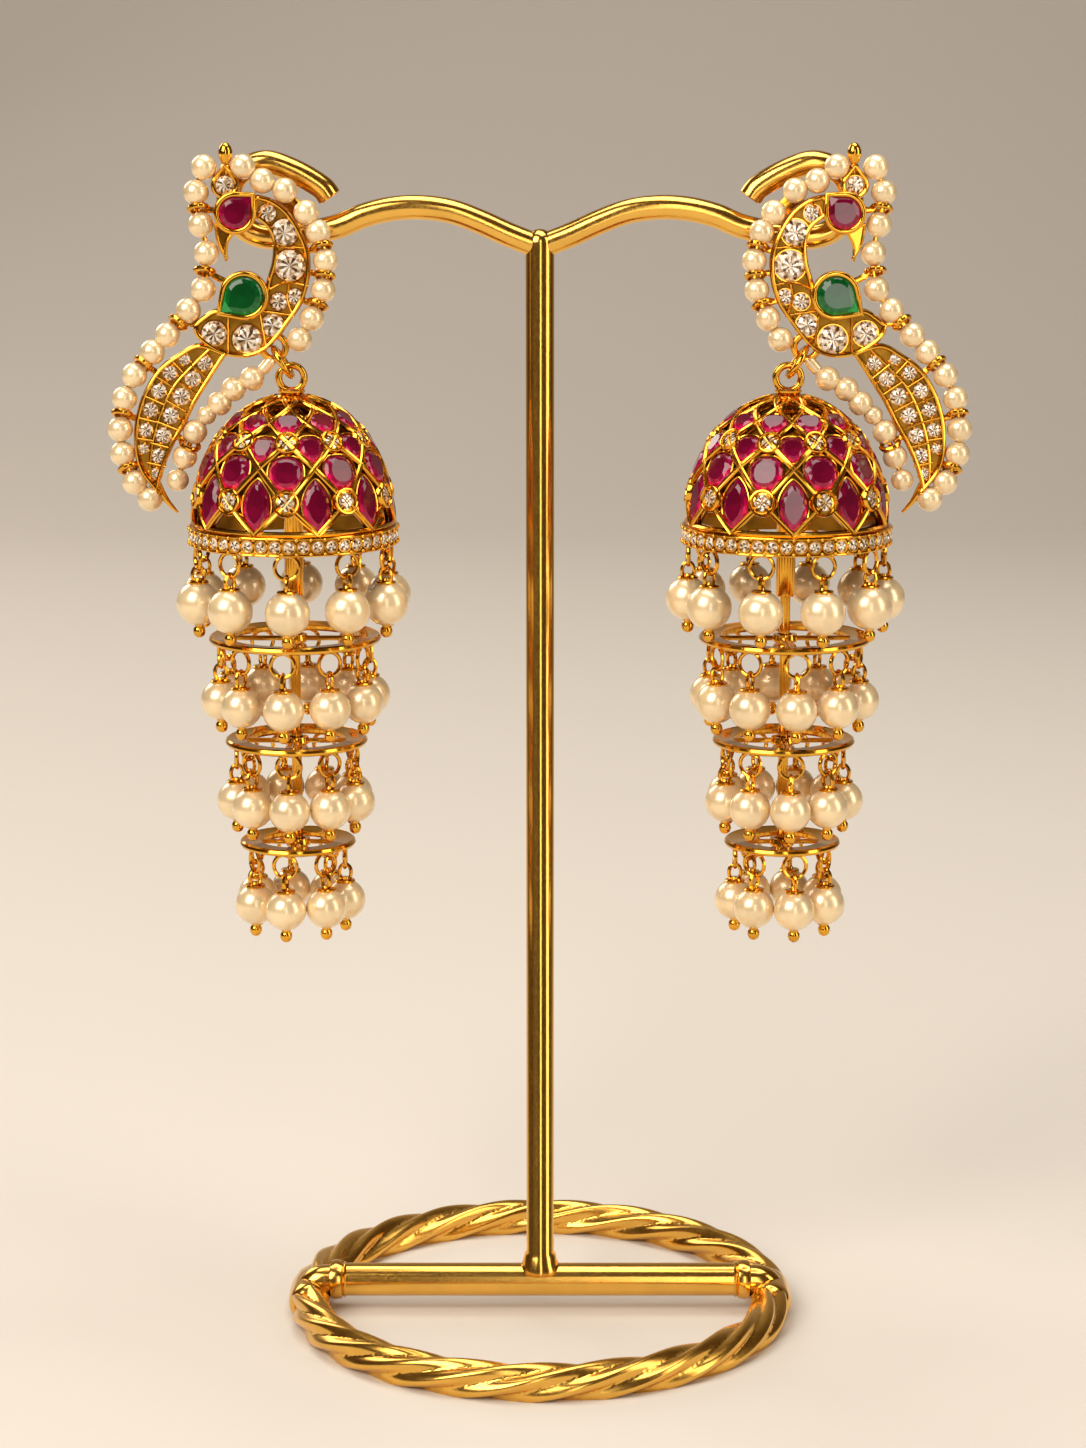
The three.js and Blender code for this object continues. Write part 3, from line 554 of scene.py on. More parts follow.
def crystal_painted_light(corners, copies_made=1):
    """The painted light of each facet of a brilliant: light and dark by turns, a painted reflection of the light that
    the foil behind throws back.
    """
    draw = np.random.default_rng(11)
    flip = (np.arange(corners) % 2).astype(float)
    rows = [
        0.26 + 0.52 * flip, 0.28 + 0.42 * flip, 0.68 - 0.42 * flip, 0.20 + 0.22 * flip, 0.66 - 0.44 * flip,
        0 * flip, np.zeros(1)
    ]
    return np.concatenate([
        np.clip(np.tile(row, copies_made) + draw.normal(0, 0.20, len(row) * copies_made), 0, 1) for row in rows
    ])


def round_outline(radius, count):
    """Corners of a round stone."""
    turn = np.linspace(0, 2 * np.pi, count, endpoint=False)
    return radius * np.stack([np.cos(turn), np.sin(turn)], axis=-1)


def stone_outline(kind, width, height, count):
    """Corners of a fancy stone: marquise x = w (1 - (y/h)^2)^0.8, cushion a rounded square, pear narrowed below."""
    turn = np.linspace(0, 2 * np.pi, count, endpoint=False) + np.pi / 2
    x, y = np.cos(turn), np.sin(turn)
    if kind == "marquise":
        return np.stack([width * np.sign(x) * (1 - y**2) ** 0.8, height * y], axis=-1)
    power = 0.84
    x, y = np.sign(x) * np.abs(x) ** power, np.sign(y) * np.abs(y) ** power
    if kind == "pear":
        x = x * (1 + 0.22 * y)
    return np.stack([width * x, height * y], axis=-1)


def bezel(steps=24):
    """A rounded collar of outer radius one, seated on its setting."""
    profile = [(0.72, -0.10), (0.74, 0.20), (0.80, 0.28), (0.90, 0.27), (0.97, 0.16), (1.0, -0.16)]
    return lathe(profile, steps, closed=True)


# Materials


def shade(colour, share):
    """A linear colour made darker or lighter, with full alpha."""
    return (*(min(1.0, share * value) for value in colour[:3]), 1.0)


def add(tree, kind, settings=None, links=None):
    """Adds a node with its settings and incoming links, and returns it; stops are positions and colours of a ramp."""
    made = tree.nodes.new(kind)
    for key, value in (settings or {}).items():
        if key == "stops":
            elements = made.color_ramp.elements
            while len(elements) < len(value):
                elements.new(0.5)
            for element, (position, colour) in zip(elements, value):
                element.position, element.color = position, colour
        elif isinstance(key, str) and hasattr(made, key):
            setattr(made, key, value)
        else:
            made.inputs[key].default_value = value
    for key, source in (links or {}).items():
        tree.links.new(source, made.inputs[key])
    return made


def blank_material(name):
    """A material with only its output node, and that node."""
    material = bpy.data.materials.get(name) or bpy.data.materials.new(name)
    material.use_nodes = True
    material.node_tree.nodes.clear()
    return material, material.node_tree, material.node_tree.nodes.new("ShaderNodeOutputMaterial")


def gold_material(name, colour, darkest, rough_low, rough_high, marks, mark_depth):
    """Gold plating: a warm metal whose tone and polish drift over a few millimetres, with fine marks."""
    material, tree, out = blank_material(name)
    where = add(tree, "ShaderNodeTexCoord").outputs["Object"]
    # The tone drifts over about 4 mm, and the marks are 1 / marks of a metre apart
    drift = add(tree, "ShaderNodeTexNoise", {"Scale": 260.0, "Detail": 3.0}, {"Vector": where})
    fine = add(tree, "ShaderNodeTexNoise", {"Scale": marks, "Detail": 4.0}, {"Vector": where})
    tone = add(
        tree, "ShaderNodeValToRGB", {"stops": [(0.32, shade(colour, darkest)), (0.62, shade(colour, 1.0))]},
        {"Fac": drift.outputs["Fac"]}
    )
    polish = add(
        tree, "ShaderNodeMapRange", {"From Min": 0.3, "From Max": 0.7, "To Min": rough_low, "To Max": rough_high},
        {"Value": fine.outputs["Fac"]}
    )
    bump = add(
        tree, "ShaderNodeBump", {"Strength": mark_depth, "Distance": 0.00004}, {"Height": fine.outputs["Fac"]}
    )
    shader = add(tree, "ShaderNodeBsdfPrincipled", {"Metallic": 1.0}, {
        "Base Color": tone.outputs["Color"], "Roughness": polish.outputs["Result"],
        "Normal": bump.outputs["Normal"]})
    tree.links.new(shader.outputs["BSDF"], out.inputs["Surface"])
    return material


def pearl_material(colour):
    """Cream shell pearl: nacre over a bead, with a silky gloss and a slow warm drift of colour."""
    material, tree, out = blank_material(NACRE)
    where = add(tree, "ShaderNodeTexCoord").outputs["Object"]
    # Clouds of about 2.4 mm, and growth lines drawn 0.2 mm apart, as coarse as they need to be to show
    cloud = add(tree, "ShaderNodeTexNoise", {"Scale": 420.0, "Detail": 2.0}, {"Vector": where})
    tone = add(
        tree, "ShaderNodeValToRGB",
        {"stops": [(0.30, shade(colour, 0.86)), (0.50, shade(colour, 0.97)), (0.72, shade(colour, 1.08))]},
        {"Fac": cloud.outputs["Fac"]}
    )
    grain = add(tree, "ShaderNodeTexNoise", {"Scale": 5200.0, "Detail": 2.0}, {"Vector": where})
    bump = add(tree, "ShaderNodeBump", {"Strength": 0.04, "Distance": 0.00003}, {"Height": grain.outputs["Fac"]})
    shader = add(tree, "ShaderNodeBsdfPrincipled", {
        "Metallic": 0.38, "Roughness": 0.30, "IOR": 1.6, "Subsurface Weight": 0.15, "Subsurface Scale": 0.0012,
        "Subsurface Radius": (1.0, 0.55, 0.25), "Coat Weight": 0.8, "Coat Roughness": 0.16, "Coat IOR": 1.6}, {
        "Base Color": tone.outputs["Color"], "Normal": bump.outputs["Normal"]})
    tree.links.new(shader.outputs["BSDF"], out.inputs["Surface"])
    return material


def gem_material(name, colour):
    """A deep coloured glass stone: each facet has its own tone of painted light, from a painted glow on the crown to
    painted shade on the table.
    """
    material, tree, out = blank_material(name)
    where = add(tree, "ShaderNodeTexCoord").outputs["Object"]
    facet = add(tree, "ShaderNodeAttribute", {"attribute_name": "tone"})
    # Depths of about 1.4 mm, the width of a facet
    cloud = add(tree, "ShaderNodeTexNoise", {"Scale": 700.0, "Detail": 1.0}, {"Vector": where})
    depth = add(
        tree, "ShaderNodeMath", {"operation": "MULTIPLY_ADD", 1: 0.3, 2: -0.15}, {0: cloud.outputs["Fac"]}
    )
    total = add(
        tree, "ShaderNodeMath", {"operation": "ADD", "use_clamp": True},
        {0: facet.outputs["Fac"], 1: depth.outputs["Value"]}
    )
    # The ramp paints light and shade: 2.3 times the colour as a painted glow, down to 0.3 times as painted shade
    tone = add(
        tree, "ShaderNodeValToRGB",
        {"stops": [
            (0.02, shade(colour, 2.3)), (0.28, shade(colour, 1.2)), (0.60, shade(colour, 0.60)),
            (0.95, shade(colour, 0.30))
        ]},
        {"Fac": total.outputs["Value"]}
    )
    shader = add(tree, "ShaderNodeBsdfPrincipled", {
        "Roughness": 0.08, "IOR": 1.52, "Specular IOR Level": 0.45}, {"Base Color": tone.outputs["Color"]})
    tree.links.new(shader.outputs["BSDF"], out.inputs["Surface"])
    return material


def crystal_material():
    """Foiled crystal: a champagne-white brilliant whose facets are painted light and dark by turns, as painted
    reflections.
    """
    material, tree, out = blank_material(CRYSTAL)
    where = add(tree, "ShaderNodeTexCoord").outputs["Object"]
    facet = add(tree, "ShaderNodeAttribute", {"attribute_name": "tone"})
    # Painted inner reflections of about 0.3 mm, drawn as coarse as they need to be to show
    cells = add(tree, "ShaderNodeTexVoronoi", {"Scale": 3000.0, "Randomness": 1.0}, {"Vector": where})
    spark = add(
        tree, "ShaderNodeMath", {"operation": "MULTIPLY_ADD", 1: 0.45, 2: -0.18}, {0: cells.outputs["Distance"]}
    )
    total = add(
        tree, "ShaderNodeMath", {"operation": "ADD", "use_clamp": True},
        {0: facet.outputs["Fac"], 1: spark.outputs["Value"]}
    )
    # The ramp paints the reflections: white as painted highlights, dark brown as painted shade
    tone = add(
        tree, "ShaderNodeValToRGB",
        {"stops": [
            (0.12, linear("#FFFDF6")), (0.36, linear("#EEDFC8")), (0.60, linear("#B9976B")),
            (0.92, linear("#4E3016"))
        ]},
        {"Fac": total.outputs["Value"]}
    )
    bump = add(
        tree, "ShaderNodeBump", {"Strength": 0.35, "Distance": 0.00006}, {"Height": cells.outputs["Distance"]}
    )
    shader = add(tree, "ShaderNodeBsdfPrincipled", {
        "Metallic": 0.25, "Roughness": 0.10, "IOR": 1.6, "Specular IOR Level": 0.8}, {
        "Base Color": tone.outputs["Color"], "Normal": bump.outputs["Normal"]})
    tree.links.new(shader.outputs["BSDF"], out.inputs["Surface"])
    return material


def backdrop_material(colour):
    """Matt paper sweep, with a faint tooth."""
    material, tree, out = blank_material("paper_sweep")
    where = add(tree, "ShaderNodeTexCoord").outputs["Object"]
    # A tooth of about 1 mm, coarser than paper's own so that it shows
    tooth = add(tree, "ShaderNodeTexNoise", {"Scale": 900.0, "Detail": 3.0}, {"Vector": where})
    bump = add(tree, "ShaderNodeBump", {"Strength": 0.05, "Distance": 0.0002}, {"Height": tooth.outputs["Fac"]})
    shader = add(
        tree, "ShaderNodeBsdfPrincipled", {"Roughness": 0.9, "Base Color": (*colour, 1.0)},
        {"Normal": bump.outputs["Normal"]}
    )
    tree.links.new(shader.outputs["BSDF"], out.inputs["Surface"])
    return material


POLISHED = "polished_gold_plate"
SHADED_RECESS = "cast_gold_with_painted_shade"
PAINTED_SHADE_LINING = "shaded_gold_lining"
SATIN = "soft_gold_plate"
BRUSHED = "satin_gold_rope"
RUBY = "wine_red_glass"
EMERALD = "deep_green_glass"
NACRE = "cream_nacre"
CRYSTAL = "foiled_crystal"


def material(name):
    """A material by its name, made the first time it is asked for."""
    if name in bpy.data.materials:
        return bpy.data.materials[name]
    colours = bpy.context.scene.jhumka_finishes
    recipes = {
        # Electroplated and polished: mirror bright, with hairline marks about 0.2 mm apart
        POLISHED: lambda: gold_material(POLISHED, colours.gold, 0.84, 0.10, 0.18, 4200.0, 0.06),
        # Plating inside the settings, left as cast: duller, with a grain of 0.3 mm, and darker in colour as painted
        # shade between the stones
        SHADED_RECESS: lambda: gold_material(SHADED_RECESS, shade(colours.gold, 0.62), 0.42, 0.30, 0.48, 3600.0, 0.4),
        # Inside the bells: darker still, painted shade where the plating sees only itself
        PAINTED_SHADE_LINING: lambda: gold_material(PAINTED_SHADE_LINING, shade(colours.gold, 0.20), 0.45, 0.34, 0.5, 3600.0, 0.4),
        # The stand's plating: paler and a little softer than the jewellery's, with marks 0.4 mm apart
        SATIN: lambda: gold_material(SATIN, colours.stand_gold, 0.90, 0.15, 0.21, 2600.0, 0.03),
        # The twisted ring keeps the soft shine of its casting, in faint waves of about 1 mm
        BRUSHED: lambda: gold_material(BRUSHED, colours.stand_gold, 0.90, 0.20, 0.25, 900.0, 0.01),
        RUBY: lambda: gem_material(RUBY, colours.red_glass),
        EMERALD: lambda: gem_material(EMERALD, colours.green_glass),
        NACRE: lambda: pearl_material(colours.nacre),
        CRYSTAL: crystal_material,
    }
    return recipes[name]()


def make_piece(name, shape, finish, body, replaced=(), crease=35, painted_tones=None):
    """Turns a shape into a mesh object that rides on a body, with its finish and the nodes it stands for.

    A piece given a tone for each facet is cut stone: flat facets, each with its tone of painted light and shade,
    which its material reads.
    """
    points, faces = shape
    mesh = bpy.data.meshes.new(name)
    mesh.from_pydata((points * MM).tolist(), [], [face for block in faces for face in block.tolist()])
    if painted_tones is None:
        work = bmesh.new()
        work.from_mesh(mesh)
        bmesh.ops.remove_doubles(work, verts=work.verts, dist=2e-7)
        bmesh.ops.recalc_face_normals(work, faces=work.faces)
        work.to_mesh(mesh)
        work.free()
        mesh.shade_smooth()
        mesh.set_sharp_from_angle(angle=math.radians(crease))
    else:
        # Each facet's tone is painted light and shade, read by the stone's material
        mesh.attributes.new("tone", "FLOAT", "FACE").data.foreach_set("value", np.asarray(painted_tones, np.float32))
    mesh.validate()
    obj = bpy.data.objects.new(name, mesh)
    bpy.context.scene.collection.objects.link(obj)
    mesh.materials.append(material(finish))
    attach(obj, body)
    if replaced:
        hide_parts(*replaced)
    return obj


def make_pair(name, shape, finish, body, replaced=(), crease=35, painted_tones=None, with_bell=False):
    """The same piece for the right earring and, mirrored, for the left; with_bell turns it as the bell hangs."""
    for suffix, side in SIDES:
        own = turned(shape, BELL_TURN[suffix]) if with_bell else shape
        own = own if side > 0 else mirrored(own)
        nodes = [f"{node}_{suffix}" for node in replaced]
        where = body if body == "display" else f"{body}_{suffix}"
        make_piece(f"{name}_{suffix}", own, finish, where, nodes, crease, painted_tones)


def dome_point(turn, rise, depth, sizes):
    """A point of the bell: r = (R - d) cos(rise), z = (H - d) sin(rise), turn in half repeats."""
    around = np.pi * np.asarray(turn, float) / REPEATS
    radius = (sizes.dome_radius / MM - depth) * np.cos(rise)
    height = (sizes.dome_height / MM - depth) * np.sin(rise)
    return np.stack(np.broadcast_arrays(
        SWING[0] + radius * np.cos(around), SWING[1] + radius * np.sin(around), DOME_BASE + height), axis=-1)


def dome_axes(turn, rise, sizes):
    """East, north and outward unit vectors on the bell."""
    step = 1e-3
    east = unit(dome_point(turn + step, rise, 0, sizes) - dome_point(turn - step, rise, 0, sizes))
    north = unit(dome_point(turn, rise + step, 0, sizes) - dome_point(turn, rise - step, 0, sizes))
    return east, north, np.cross(east, north)


class JHUMKA_OT_stage(bpy.types.Operator):
    """Add the floor, the lights and the camera"""

    bl_idname = "jhumka.stage"
    bl_label = "Stage"

    def execute(self, context):
        finishes = context.scene.jhumka_finishes
        camera = bpy.data.objects.new("photo_camera", bpy.data.cameras.new("photo_camera"))
        context.scene.collection.objects.link(camera)
        camera.data.sensor_fit, camera.data.sensor_height = "VERTICAL", 36.0
        camera.data.lens = 36.0 * FOCAL_LENGTH / FRAME_HEIGHT
        camera.data.clip_start = 0.01
        camera.location = CAMERA_AT
        camera.rotation_euler = (math.radians(90 - CAMERA_DIP), 0, 0)
        context.scene.camera = camera

        # The sweep: a floor that curves up behind, y and z going round a quarter circle
        bend = np.linspace(0, np.pi / 2, 13)
        profile = np.vstack([
            [(-1.6, 0)], np.stack([0.7 + 0.5 * np.sin(bend), 0.5 - 0.5 * np.cos(bend)], -1), [(1.2, 1.8)]
        ])
        across = np.linspace(-2.4, 2.4, 9)
        points = np.stack(np.broadcast_arrays(across[None], profile[:, :1], profile[:, 1:]), axis=-1)
        flat, faces = grid(points)
        mesh = bpy.data.meshes.new("paper_sweep")
        mesh.from_pydata(flat.tolist(), [], faces[0][:, ::-1].tolist())
        mesh.shade_smooth()
        mesh.materials.append(backdrop_material(finishes.backdrop))
        sweep_object = bpy.data.objects.new("paper_sweep", mesh)
        context.scene.collection.objects.link(sweep_object)

        # Large soft boxes: where each stands, where it looks, its width and height, its power and its colour
        boxes = [
            ((-0.46, -0.55, 0.62), (0, 0, 0.09), (0.55, 0.60), 7.2, "#FFF8EE"),
            ((0.72, -0.34, 0.34), (0, 0, 0.09), (0.26, 0.80), 2.6, "#FFF4E4"),
            ((0.05, 0.06, 0.90), (0, 0, 0.09), (0.80, 0.50), 5.4, "#FFFDF8"),
            ((-0.50, 0.62, 0.50), (0, 0, 0.10), (0.40, 0.40), 2.0, "#FFF6EA"),
            ((0.10, -0.95, 0.30), (0, 0, 0.08), (0.12, 0.70), 1.0, "#FFF8F0"),
        ]
        for number, (at, target, (width, height), power, colour) in enumerate(boxes, 1):
            light = bpy.data.lights.new(f"soft_box_{number}", "AREA")
            light.shape, light.size, light.size_y, light.energy = "RECTANGLE", width, height, power
            light.color = linear(colour)[:3]
            obj = bpy.data.objects.new(light.name, light)
            context.scene.collection.objects.link(obj)
            away = np.array(at) - np.array(target)
            obj.location = at
            obj.rotation_euler = (
                math.acos(away[2] / np.linalg.norm(away)), 0, math.atan2(away[1], away[0]) + math.pi / 2
            )

        world = bpy.data.worlds.new("studio_air")
        world.use_nodes = True
        background = world.node_tree.nodes["Background"]
        background.inputs["Color"].default_value = linear("#8A6A4C")
        background.inputs["Strength"].default_value = 0.30
        context.scene.world = world
        context.scene.view_settings.view_transform = "Standard"
        return {"FINISHED"}


class JHUMKA_OT_stand(bpy.types.Operator):
    """Add the stand: the rope ring, the crossbar, the column and the curled arms"""

    bl_idname = "jhumka.stand"
    bl_label = "Stand"

    def execute(self, context):
        sizes = context.scene.jhumka_stand
        rope = sizes.rope_radius / MM
        reach = sizes.ring_radius / MM
        middle = rope - FOOT_FLAT
        # The rope: a tube whose radius has five ridges that turn along it, and whose foot is flat
        along = np.linspace(0, 2 * np.pi, 528, endpoint=False)[:, None]
        around = np.linspace(0, 2 * np.pi, 50, endpoint=False)[None]
        phase = 2.5 * around - 0.5 * sizes.rope_ridges * along
        ridge = np.abs(np.cos(phase + 0.30 * np.sin(2 * phase)))
        radius = rope * (0.68 + 0.32 * ridge**0.62)
        out = reach + radius * np.cos(around)
        height = np.maximum(0, middle + radius * np.sin(around))
        points = np.stack([out * np.cos(along), out * np.sin(along), height], axis=-1)
        make_piece(
            "rope_ring", grid(points, wrap_u=True, wrap_v=True), BRUSHED, "display", ["stand_base"],
            crease=50
        )

        bar = sizes.crossbar_radius / MM
        level = middle + CROSSBAR_LIFT
        ferrule = reach - rope - 2.2
        profile = [
            (0, -ferrule - 2.1), (bar - 0.1, -ferrule - 2.1), (bar + 0.30, -ferrule - 1.95),
            (bar + 0.42, -ferrule - 1.3), (bar + 0.30, -ferrule - 0.6), (bar + 0.05, -ferrule - 0.45),
            (bar + 0.22, -ferrule - 0.2), (bar, -ferrule), (bar, -ferrule + 0.3),
        ]
        profile += [(bar, 0)] + [(r, -z) for r, z in reversed(profile)]
        points, faces = lathe(profile, 40)
        crossbar = points[:, [2, 1, 0]] + (0, 0, level), faces

        # Past each ferrule the bar bends down into the ring, where a smooth sleeve covers the rope
        bend = curve([
            (ferrule, level), (reach - rope, level), (reach - 1.0, level - 0.2), (reach + 0.05, level - 1.4),
            (reach + 0.1, middle - 0.4),
        ], 24)
        elbow = sweep(
            np.stack([bend[:, 0], 0 * bend[:, 0], bend[:, 1]], -1), circle_section(0.9 * bar, 32), DEPTH_AXIS
        )
        share = np.concatenate([[-1], np.linspace(-1, 1, 25), [1]])[:, None]
        swell = rope * np.concatenate([[[0.0]], 0.80 + 0.25 * (1 - share[1:-1]**8), [[0.0]]])
        out = reach + swell * np.cos(around)
        height = np.maximum(0, middle + swell * np.sin(around))
        points = np.stack([out * np.cos(0.13 * share), out * np.sin(0.13 * share), height], -1)
        sleeve = grid(points, wrap_v=True)
        ends = together(elbow, sleeve)
        make_piece("crossbar", together(crossbar, ends, mirrored(ends)), SATIN, "display")

        column = sizes.column_radius / MM
        top = sizes.column_height / MM
        foot = level + bar + 0.1
        # The long face leans a little in its shading, from its flared foot
        profile = [
            (0, foot - 0.9), (column + 0.80, foot - 0.9), (column + 0.74, foot - 0.3),
            (column + 0.46, foot + 0.3), (column + 0.26, foot + 1.2), (column, foot + 1.6), (column, top),
        ]
        rise = np.linspace(0, np.pi / 2, 9)[1:]
        profile += list(zip(column * np.cos(rise), top + column * np.sin(rise)))
        upright = lathe(profile, 40)

        # An arm: an arch from the column, then a curl that goes out, over the top and back
        arch = np.array(ARM_ARCH) * (sizes.arm_reach / MM, ARM_RISE) + (0, top)
        curl = np.array(ARM_CURL) * CURL_RADIUS + (sizes.arm_reach / MM, top + CURL_LIFT)
        path = curve(np.vstack([arch, curl]), 160)
        path = np.stack([path[:, 0], 0 * path[:, 0], path[:, 1]], axis=-1)
        arm_radius = sizes.arm_radius / MM
        # The cut end has a narrow chamfer
        taper = np.ones(len(path))
        path = np.vstack([path, path[-1] + (path[-1] - path[-2]) * 0.4])
        taper = np.append(taper, 0.88)
        arm = sweep(path, circle_section(arm_radius, 32), DEPTH_AXIS, taper=taper)
        make_piece(
            "column_and_arms", together(upright, arm, mirrored(arm)), SATIN, "display",
            ["stand_tree"]
        )
        return {"FINISHED"}


class JHUMKA_OT_peacock(bpy.types.Operator):
    """Add the gold work of the peacock studs"""

    bl_idname = "jhumka.peacock"
    bl_label = "Peacock Studs"

    def execute(self, context):
        body = shares(outline(BACK_CURVE, CHEST_CURVE, count=60))
        tail = shares(outline(TAIL_OUTSIDE, TAIL_INSIDE, count=60))
        beak = shares(outline(BEAK_FRONT, BEAK_BACK, count=16))
        floors = together(*(slab(flat, PLATE_BACK, PLATE_FRONT) for flat in (body, tail, teardrop(CREST))))
        # The floors between the stones: darker gold as painted shade
        make_pair("peacock_floor", floors, SHADED_RECESS, "display", ["stud"])

        wire = circle_section(1.0, 12)
        edge_section = wire * (0.34, 0.62)
        edges = [
            stud_wire(shrunk(flat, inset), -0.30, edge_section, closed=True)
            for flat, inset in ((body, 0.30), (tail, 0.30), (teardrop(CREST), 0.2))
        ] + [
            slab(shrunk(beak, 0.05), 0.5, -0.55),
            stud_wire(shrunk(beak, 0.18), -0.5, wire * 0.2, closed=True),
            stud_wire(shares(curve(HOOK, 24)) - (0.45, 0), 0.0, wire * 0.62, taper=np.linspace(1, 0.25, 24)),
        ]
        rims = [
            closed_wall(teardrop(setting), teardrop(setting, 0.5), PLATE_BACK, SETTING_FRONT)
            for setting in (HEAD, BREAST)
        ] + [
            stud_wire(teardrop(setting, 0.25), SETTING_FRONT, wire * (0.34, 0.26), closed=True)
            for setting in (HEAD, BREAST)
        ]
        cells = [
            stud_wire(shares(curve(run, 12)), -0.42, wire * (0.19, 0.46)) for run in CELL_WIRES + self.tail_bars()
        ] + [stud_wire(shares(curve(TAIL_SPINE, 40)), -0.38, wire * (0.24, 0.46))]

        top = shares([CREST_BALL])[0]
        pin = [
            (0, -4.4), (0.46, -4.4), (0.42, -1.7), (0.62, -1.45), (0.40, -1.2), (0.62, -0.8), (0.82, -0.2),
            (0.82, 0.35), (0.64, 0.85), (0.34, 1.2), (0, 1.3),
        ]
        pin = moved(lathe(pin, 20), stud_points([top], 0))
        grains = copies(ball(0.24, 10, 6), self.grain_places())
        eye = shares([EYELET])[0]
        ring = moved(upright(torus(1.4, 0.42, 36, 12)), stud_points([eye], 0))
        stalk = stud_wire([eye + (0.1, 3.2), eye + (0.05, 2.2), eye + (0, 1.2)], 0.0, wire * 0.55)
        settings = copies(torus(1.03, 0.07, 24, 6), stud_places(BODY_STONES, -0.48))
        make_pair(
            "peacock_gold", together(*edges, *rims, *cells, pin, grains, ring, stalk, settings), POLISHED,
            "display"
        )
        return {"FINISHED"}

    def tail_bars(self):
        """A bar across the tail midway between each stone of a column and the next."""
        bars = []
        for column in (TAIL_STONES[:6], TAIL_STONES[6:]):
            rows = np.array(column)
            middle = (rows[1:, :2] + rows[:-1, :2]) / 2
            along = unit(rows[1:, :2] - rows[:-1, :2])
            across = np.stack([-along[:, 1], along[:, 0]], -1)
            reach = ((rows[1:, 2:] + rows[:-1, 2:]) / 2 + 0.34) / STUD_HEIGHT
            bars += list(np.stack([middle - across * reach, middle + across * reach], axis=1))
        return bars

    def grain_places(self):
        """Four grains of gold round each stone of the tail."""
        rows = np.array(TAIL_STONES)
        turn = np.radians([20, 110, 200, 290])
        off = np.stack([np.cos(turn), np.sin(turn)], -1)
        spots = rows[:, None, :2] * STUD_HEIGHT + off[None] * (rows[:, 2:, None] * 1.08)
        return place(*FACING, stud_points(spots.reshape(-1, 2), -0.42))


class JHUMKA_OT_stones(bpy.types.Operator):
    """Add the cut stones of the studs"""

    bl_idname = "jhumka.stones"
    bl_label = "Stud Stones"

    def execute(self, context):
        for name, setting, finish, slot, node in (
            ("head_stone", HEAD, RUBY, "ruby", "head_ruby"),
            ("breast_stone", BREAST, EMERALD, "emerald", "breast_emerald"),
        ):
            flat = teardrop(setting, 0.42, 21)
            points, faces = cut_stone(flat, 0.62, 0.9, table=0.62)
            placed = np.stack([POST[0] + points[:, 0], POST[1] - 1.42 - points[:, 2], POST[2] + points[:, 1]], -1)
            make_pair(
                name, (placed, faces), finish, "display", [node], painted_tones=glass_painted_light(flat, contrast=0.8)
            )
        rows = BODY_STONES + TAIL_STONES
        brilliants = copies(cut_stone(round_outline(1.02, 16), 0.36, 0.35, table=0.56), stud_places(rows, -0.52))
        make_pair("stud_crystals", brilliants, CRYSTAL, "display", painted_tones=crystal_painted_light(16, len(rows)))
        return {"FINISHED"}


class JHUMKA_OT_strings(bpy.types.Operator):
    """Add the strings of small pearls round the studs"""

    bl_idname = "jhumka.strings"
    bl_label = "Pearl Strings"

    def execute(self, context):
        wire = circle_section(1.0, 10)
        goldwork = []
        edges = np.vstack([
            shares(outline(BACK_CURVE, CHEST_CURVE)), shares(outline(TAIL_OUTSIDE, TAIL_INSIDE)),
            teardrop(HEAD), teardrop(BREAST), teardrop(CREST),
        ])
        for name, (centres, radius, clasps) in STRINGS.items():
            centres = shares(centres)
            grow = np.full(len(centres), radius)
            if name == "inner":
                # A small fourth pearl, and a lowest one that leaves the bell room to swing
                grow[[0, 3]] = 1.34, 1.15
            pearls = copies(ball(1.0, 28, 14), place(*FACING, stud_points(centres, 0.0), grow))
            make_pair(f"{name}_pearls", pearls, NACRE, "display", [f"{name}_strand"])
            goldwork.append(stud_wire(curve(centres, 90), 0.0, wire * 0.3))
            gaps = (centres[:-1] + centres[1:]) / 2
            along = unit(centres[1:] - centres[:-1])
            for gap in clasps:
                middle, direction = gaps[gap], along[gap]
                across = np.array([-direction[1], direction[0]])
                nearest = edges[np.argmin(np.linalg.norm(edges - middle, axis=1))]
                toward = unit((nearest - middle)[None])[0]
                if across @ toward < 0:
                    across = -across
                # The clasp's hoop leans to the front by CLASP_TILT, so that it shows as a narrow ring
                plane = np.array([[across[0], 0, across[1]]])
                level = direction * math.cos(CLASP_TILT)
                axis = unit(np.array([[level[0], -math.sin(CLASP_TILT), level[1]]]))
                hoop = place(plane, np.cross(axis, plane), axis, stud_points([middle], 0.0))
                goldwork.append(copies(torus(1.05, 0.33, 28, 10), hoop))
                bridge = curve([middle + across * 0.8, (middle + nearest) / 2, nearest + 0.4 * toward], 8)
                goldwork.append(stud_wire(bridge, 0.15, wire * 0.40))
        start, end = shares([(0.070, -0.424), (0.030, -0.385)])
        goldwork.append(stud_wire([start, (start + end) / 2, end], 0.3, wire * 0.3))
        make_pair("string_wires", together(*goldwork), POLISHED, "display")
        tube = curve(shares([(0.062, -0.420), (0.043, -0.398), (0.030, -0.383)]), 8)
        tube = stud_wire(tube, 0.1, circle_section(0.72, 20), taper=[0.7, 1, 1, 1, 1, 1, 1, 0.7])
        make_pair("tube_bead", tube, NACRE, "display")
        return {"FINISHED"}


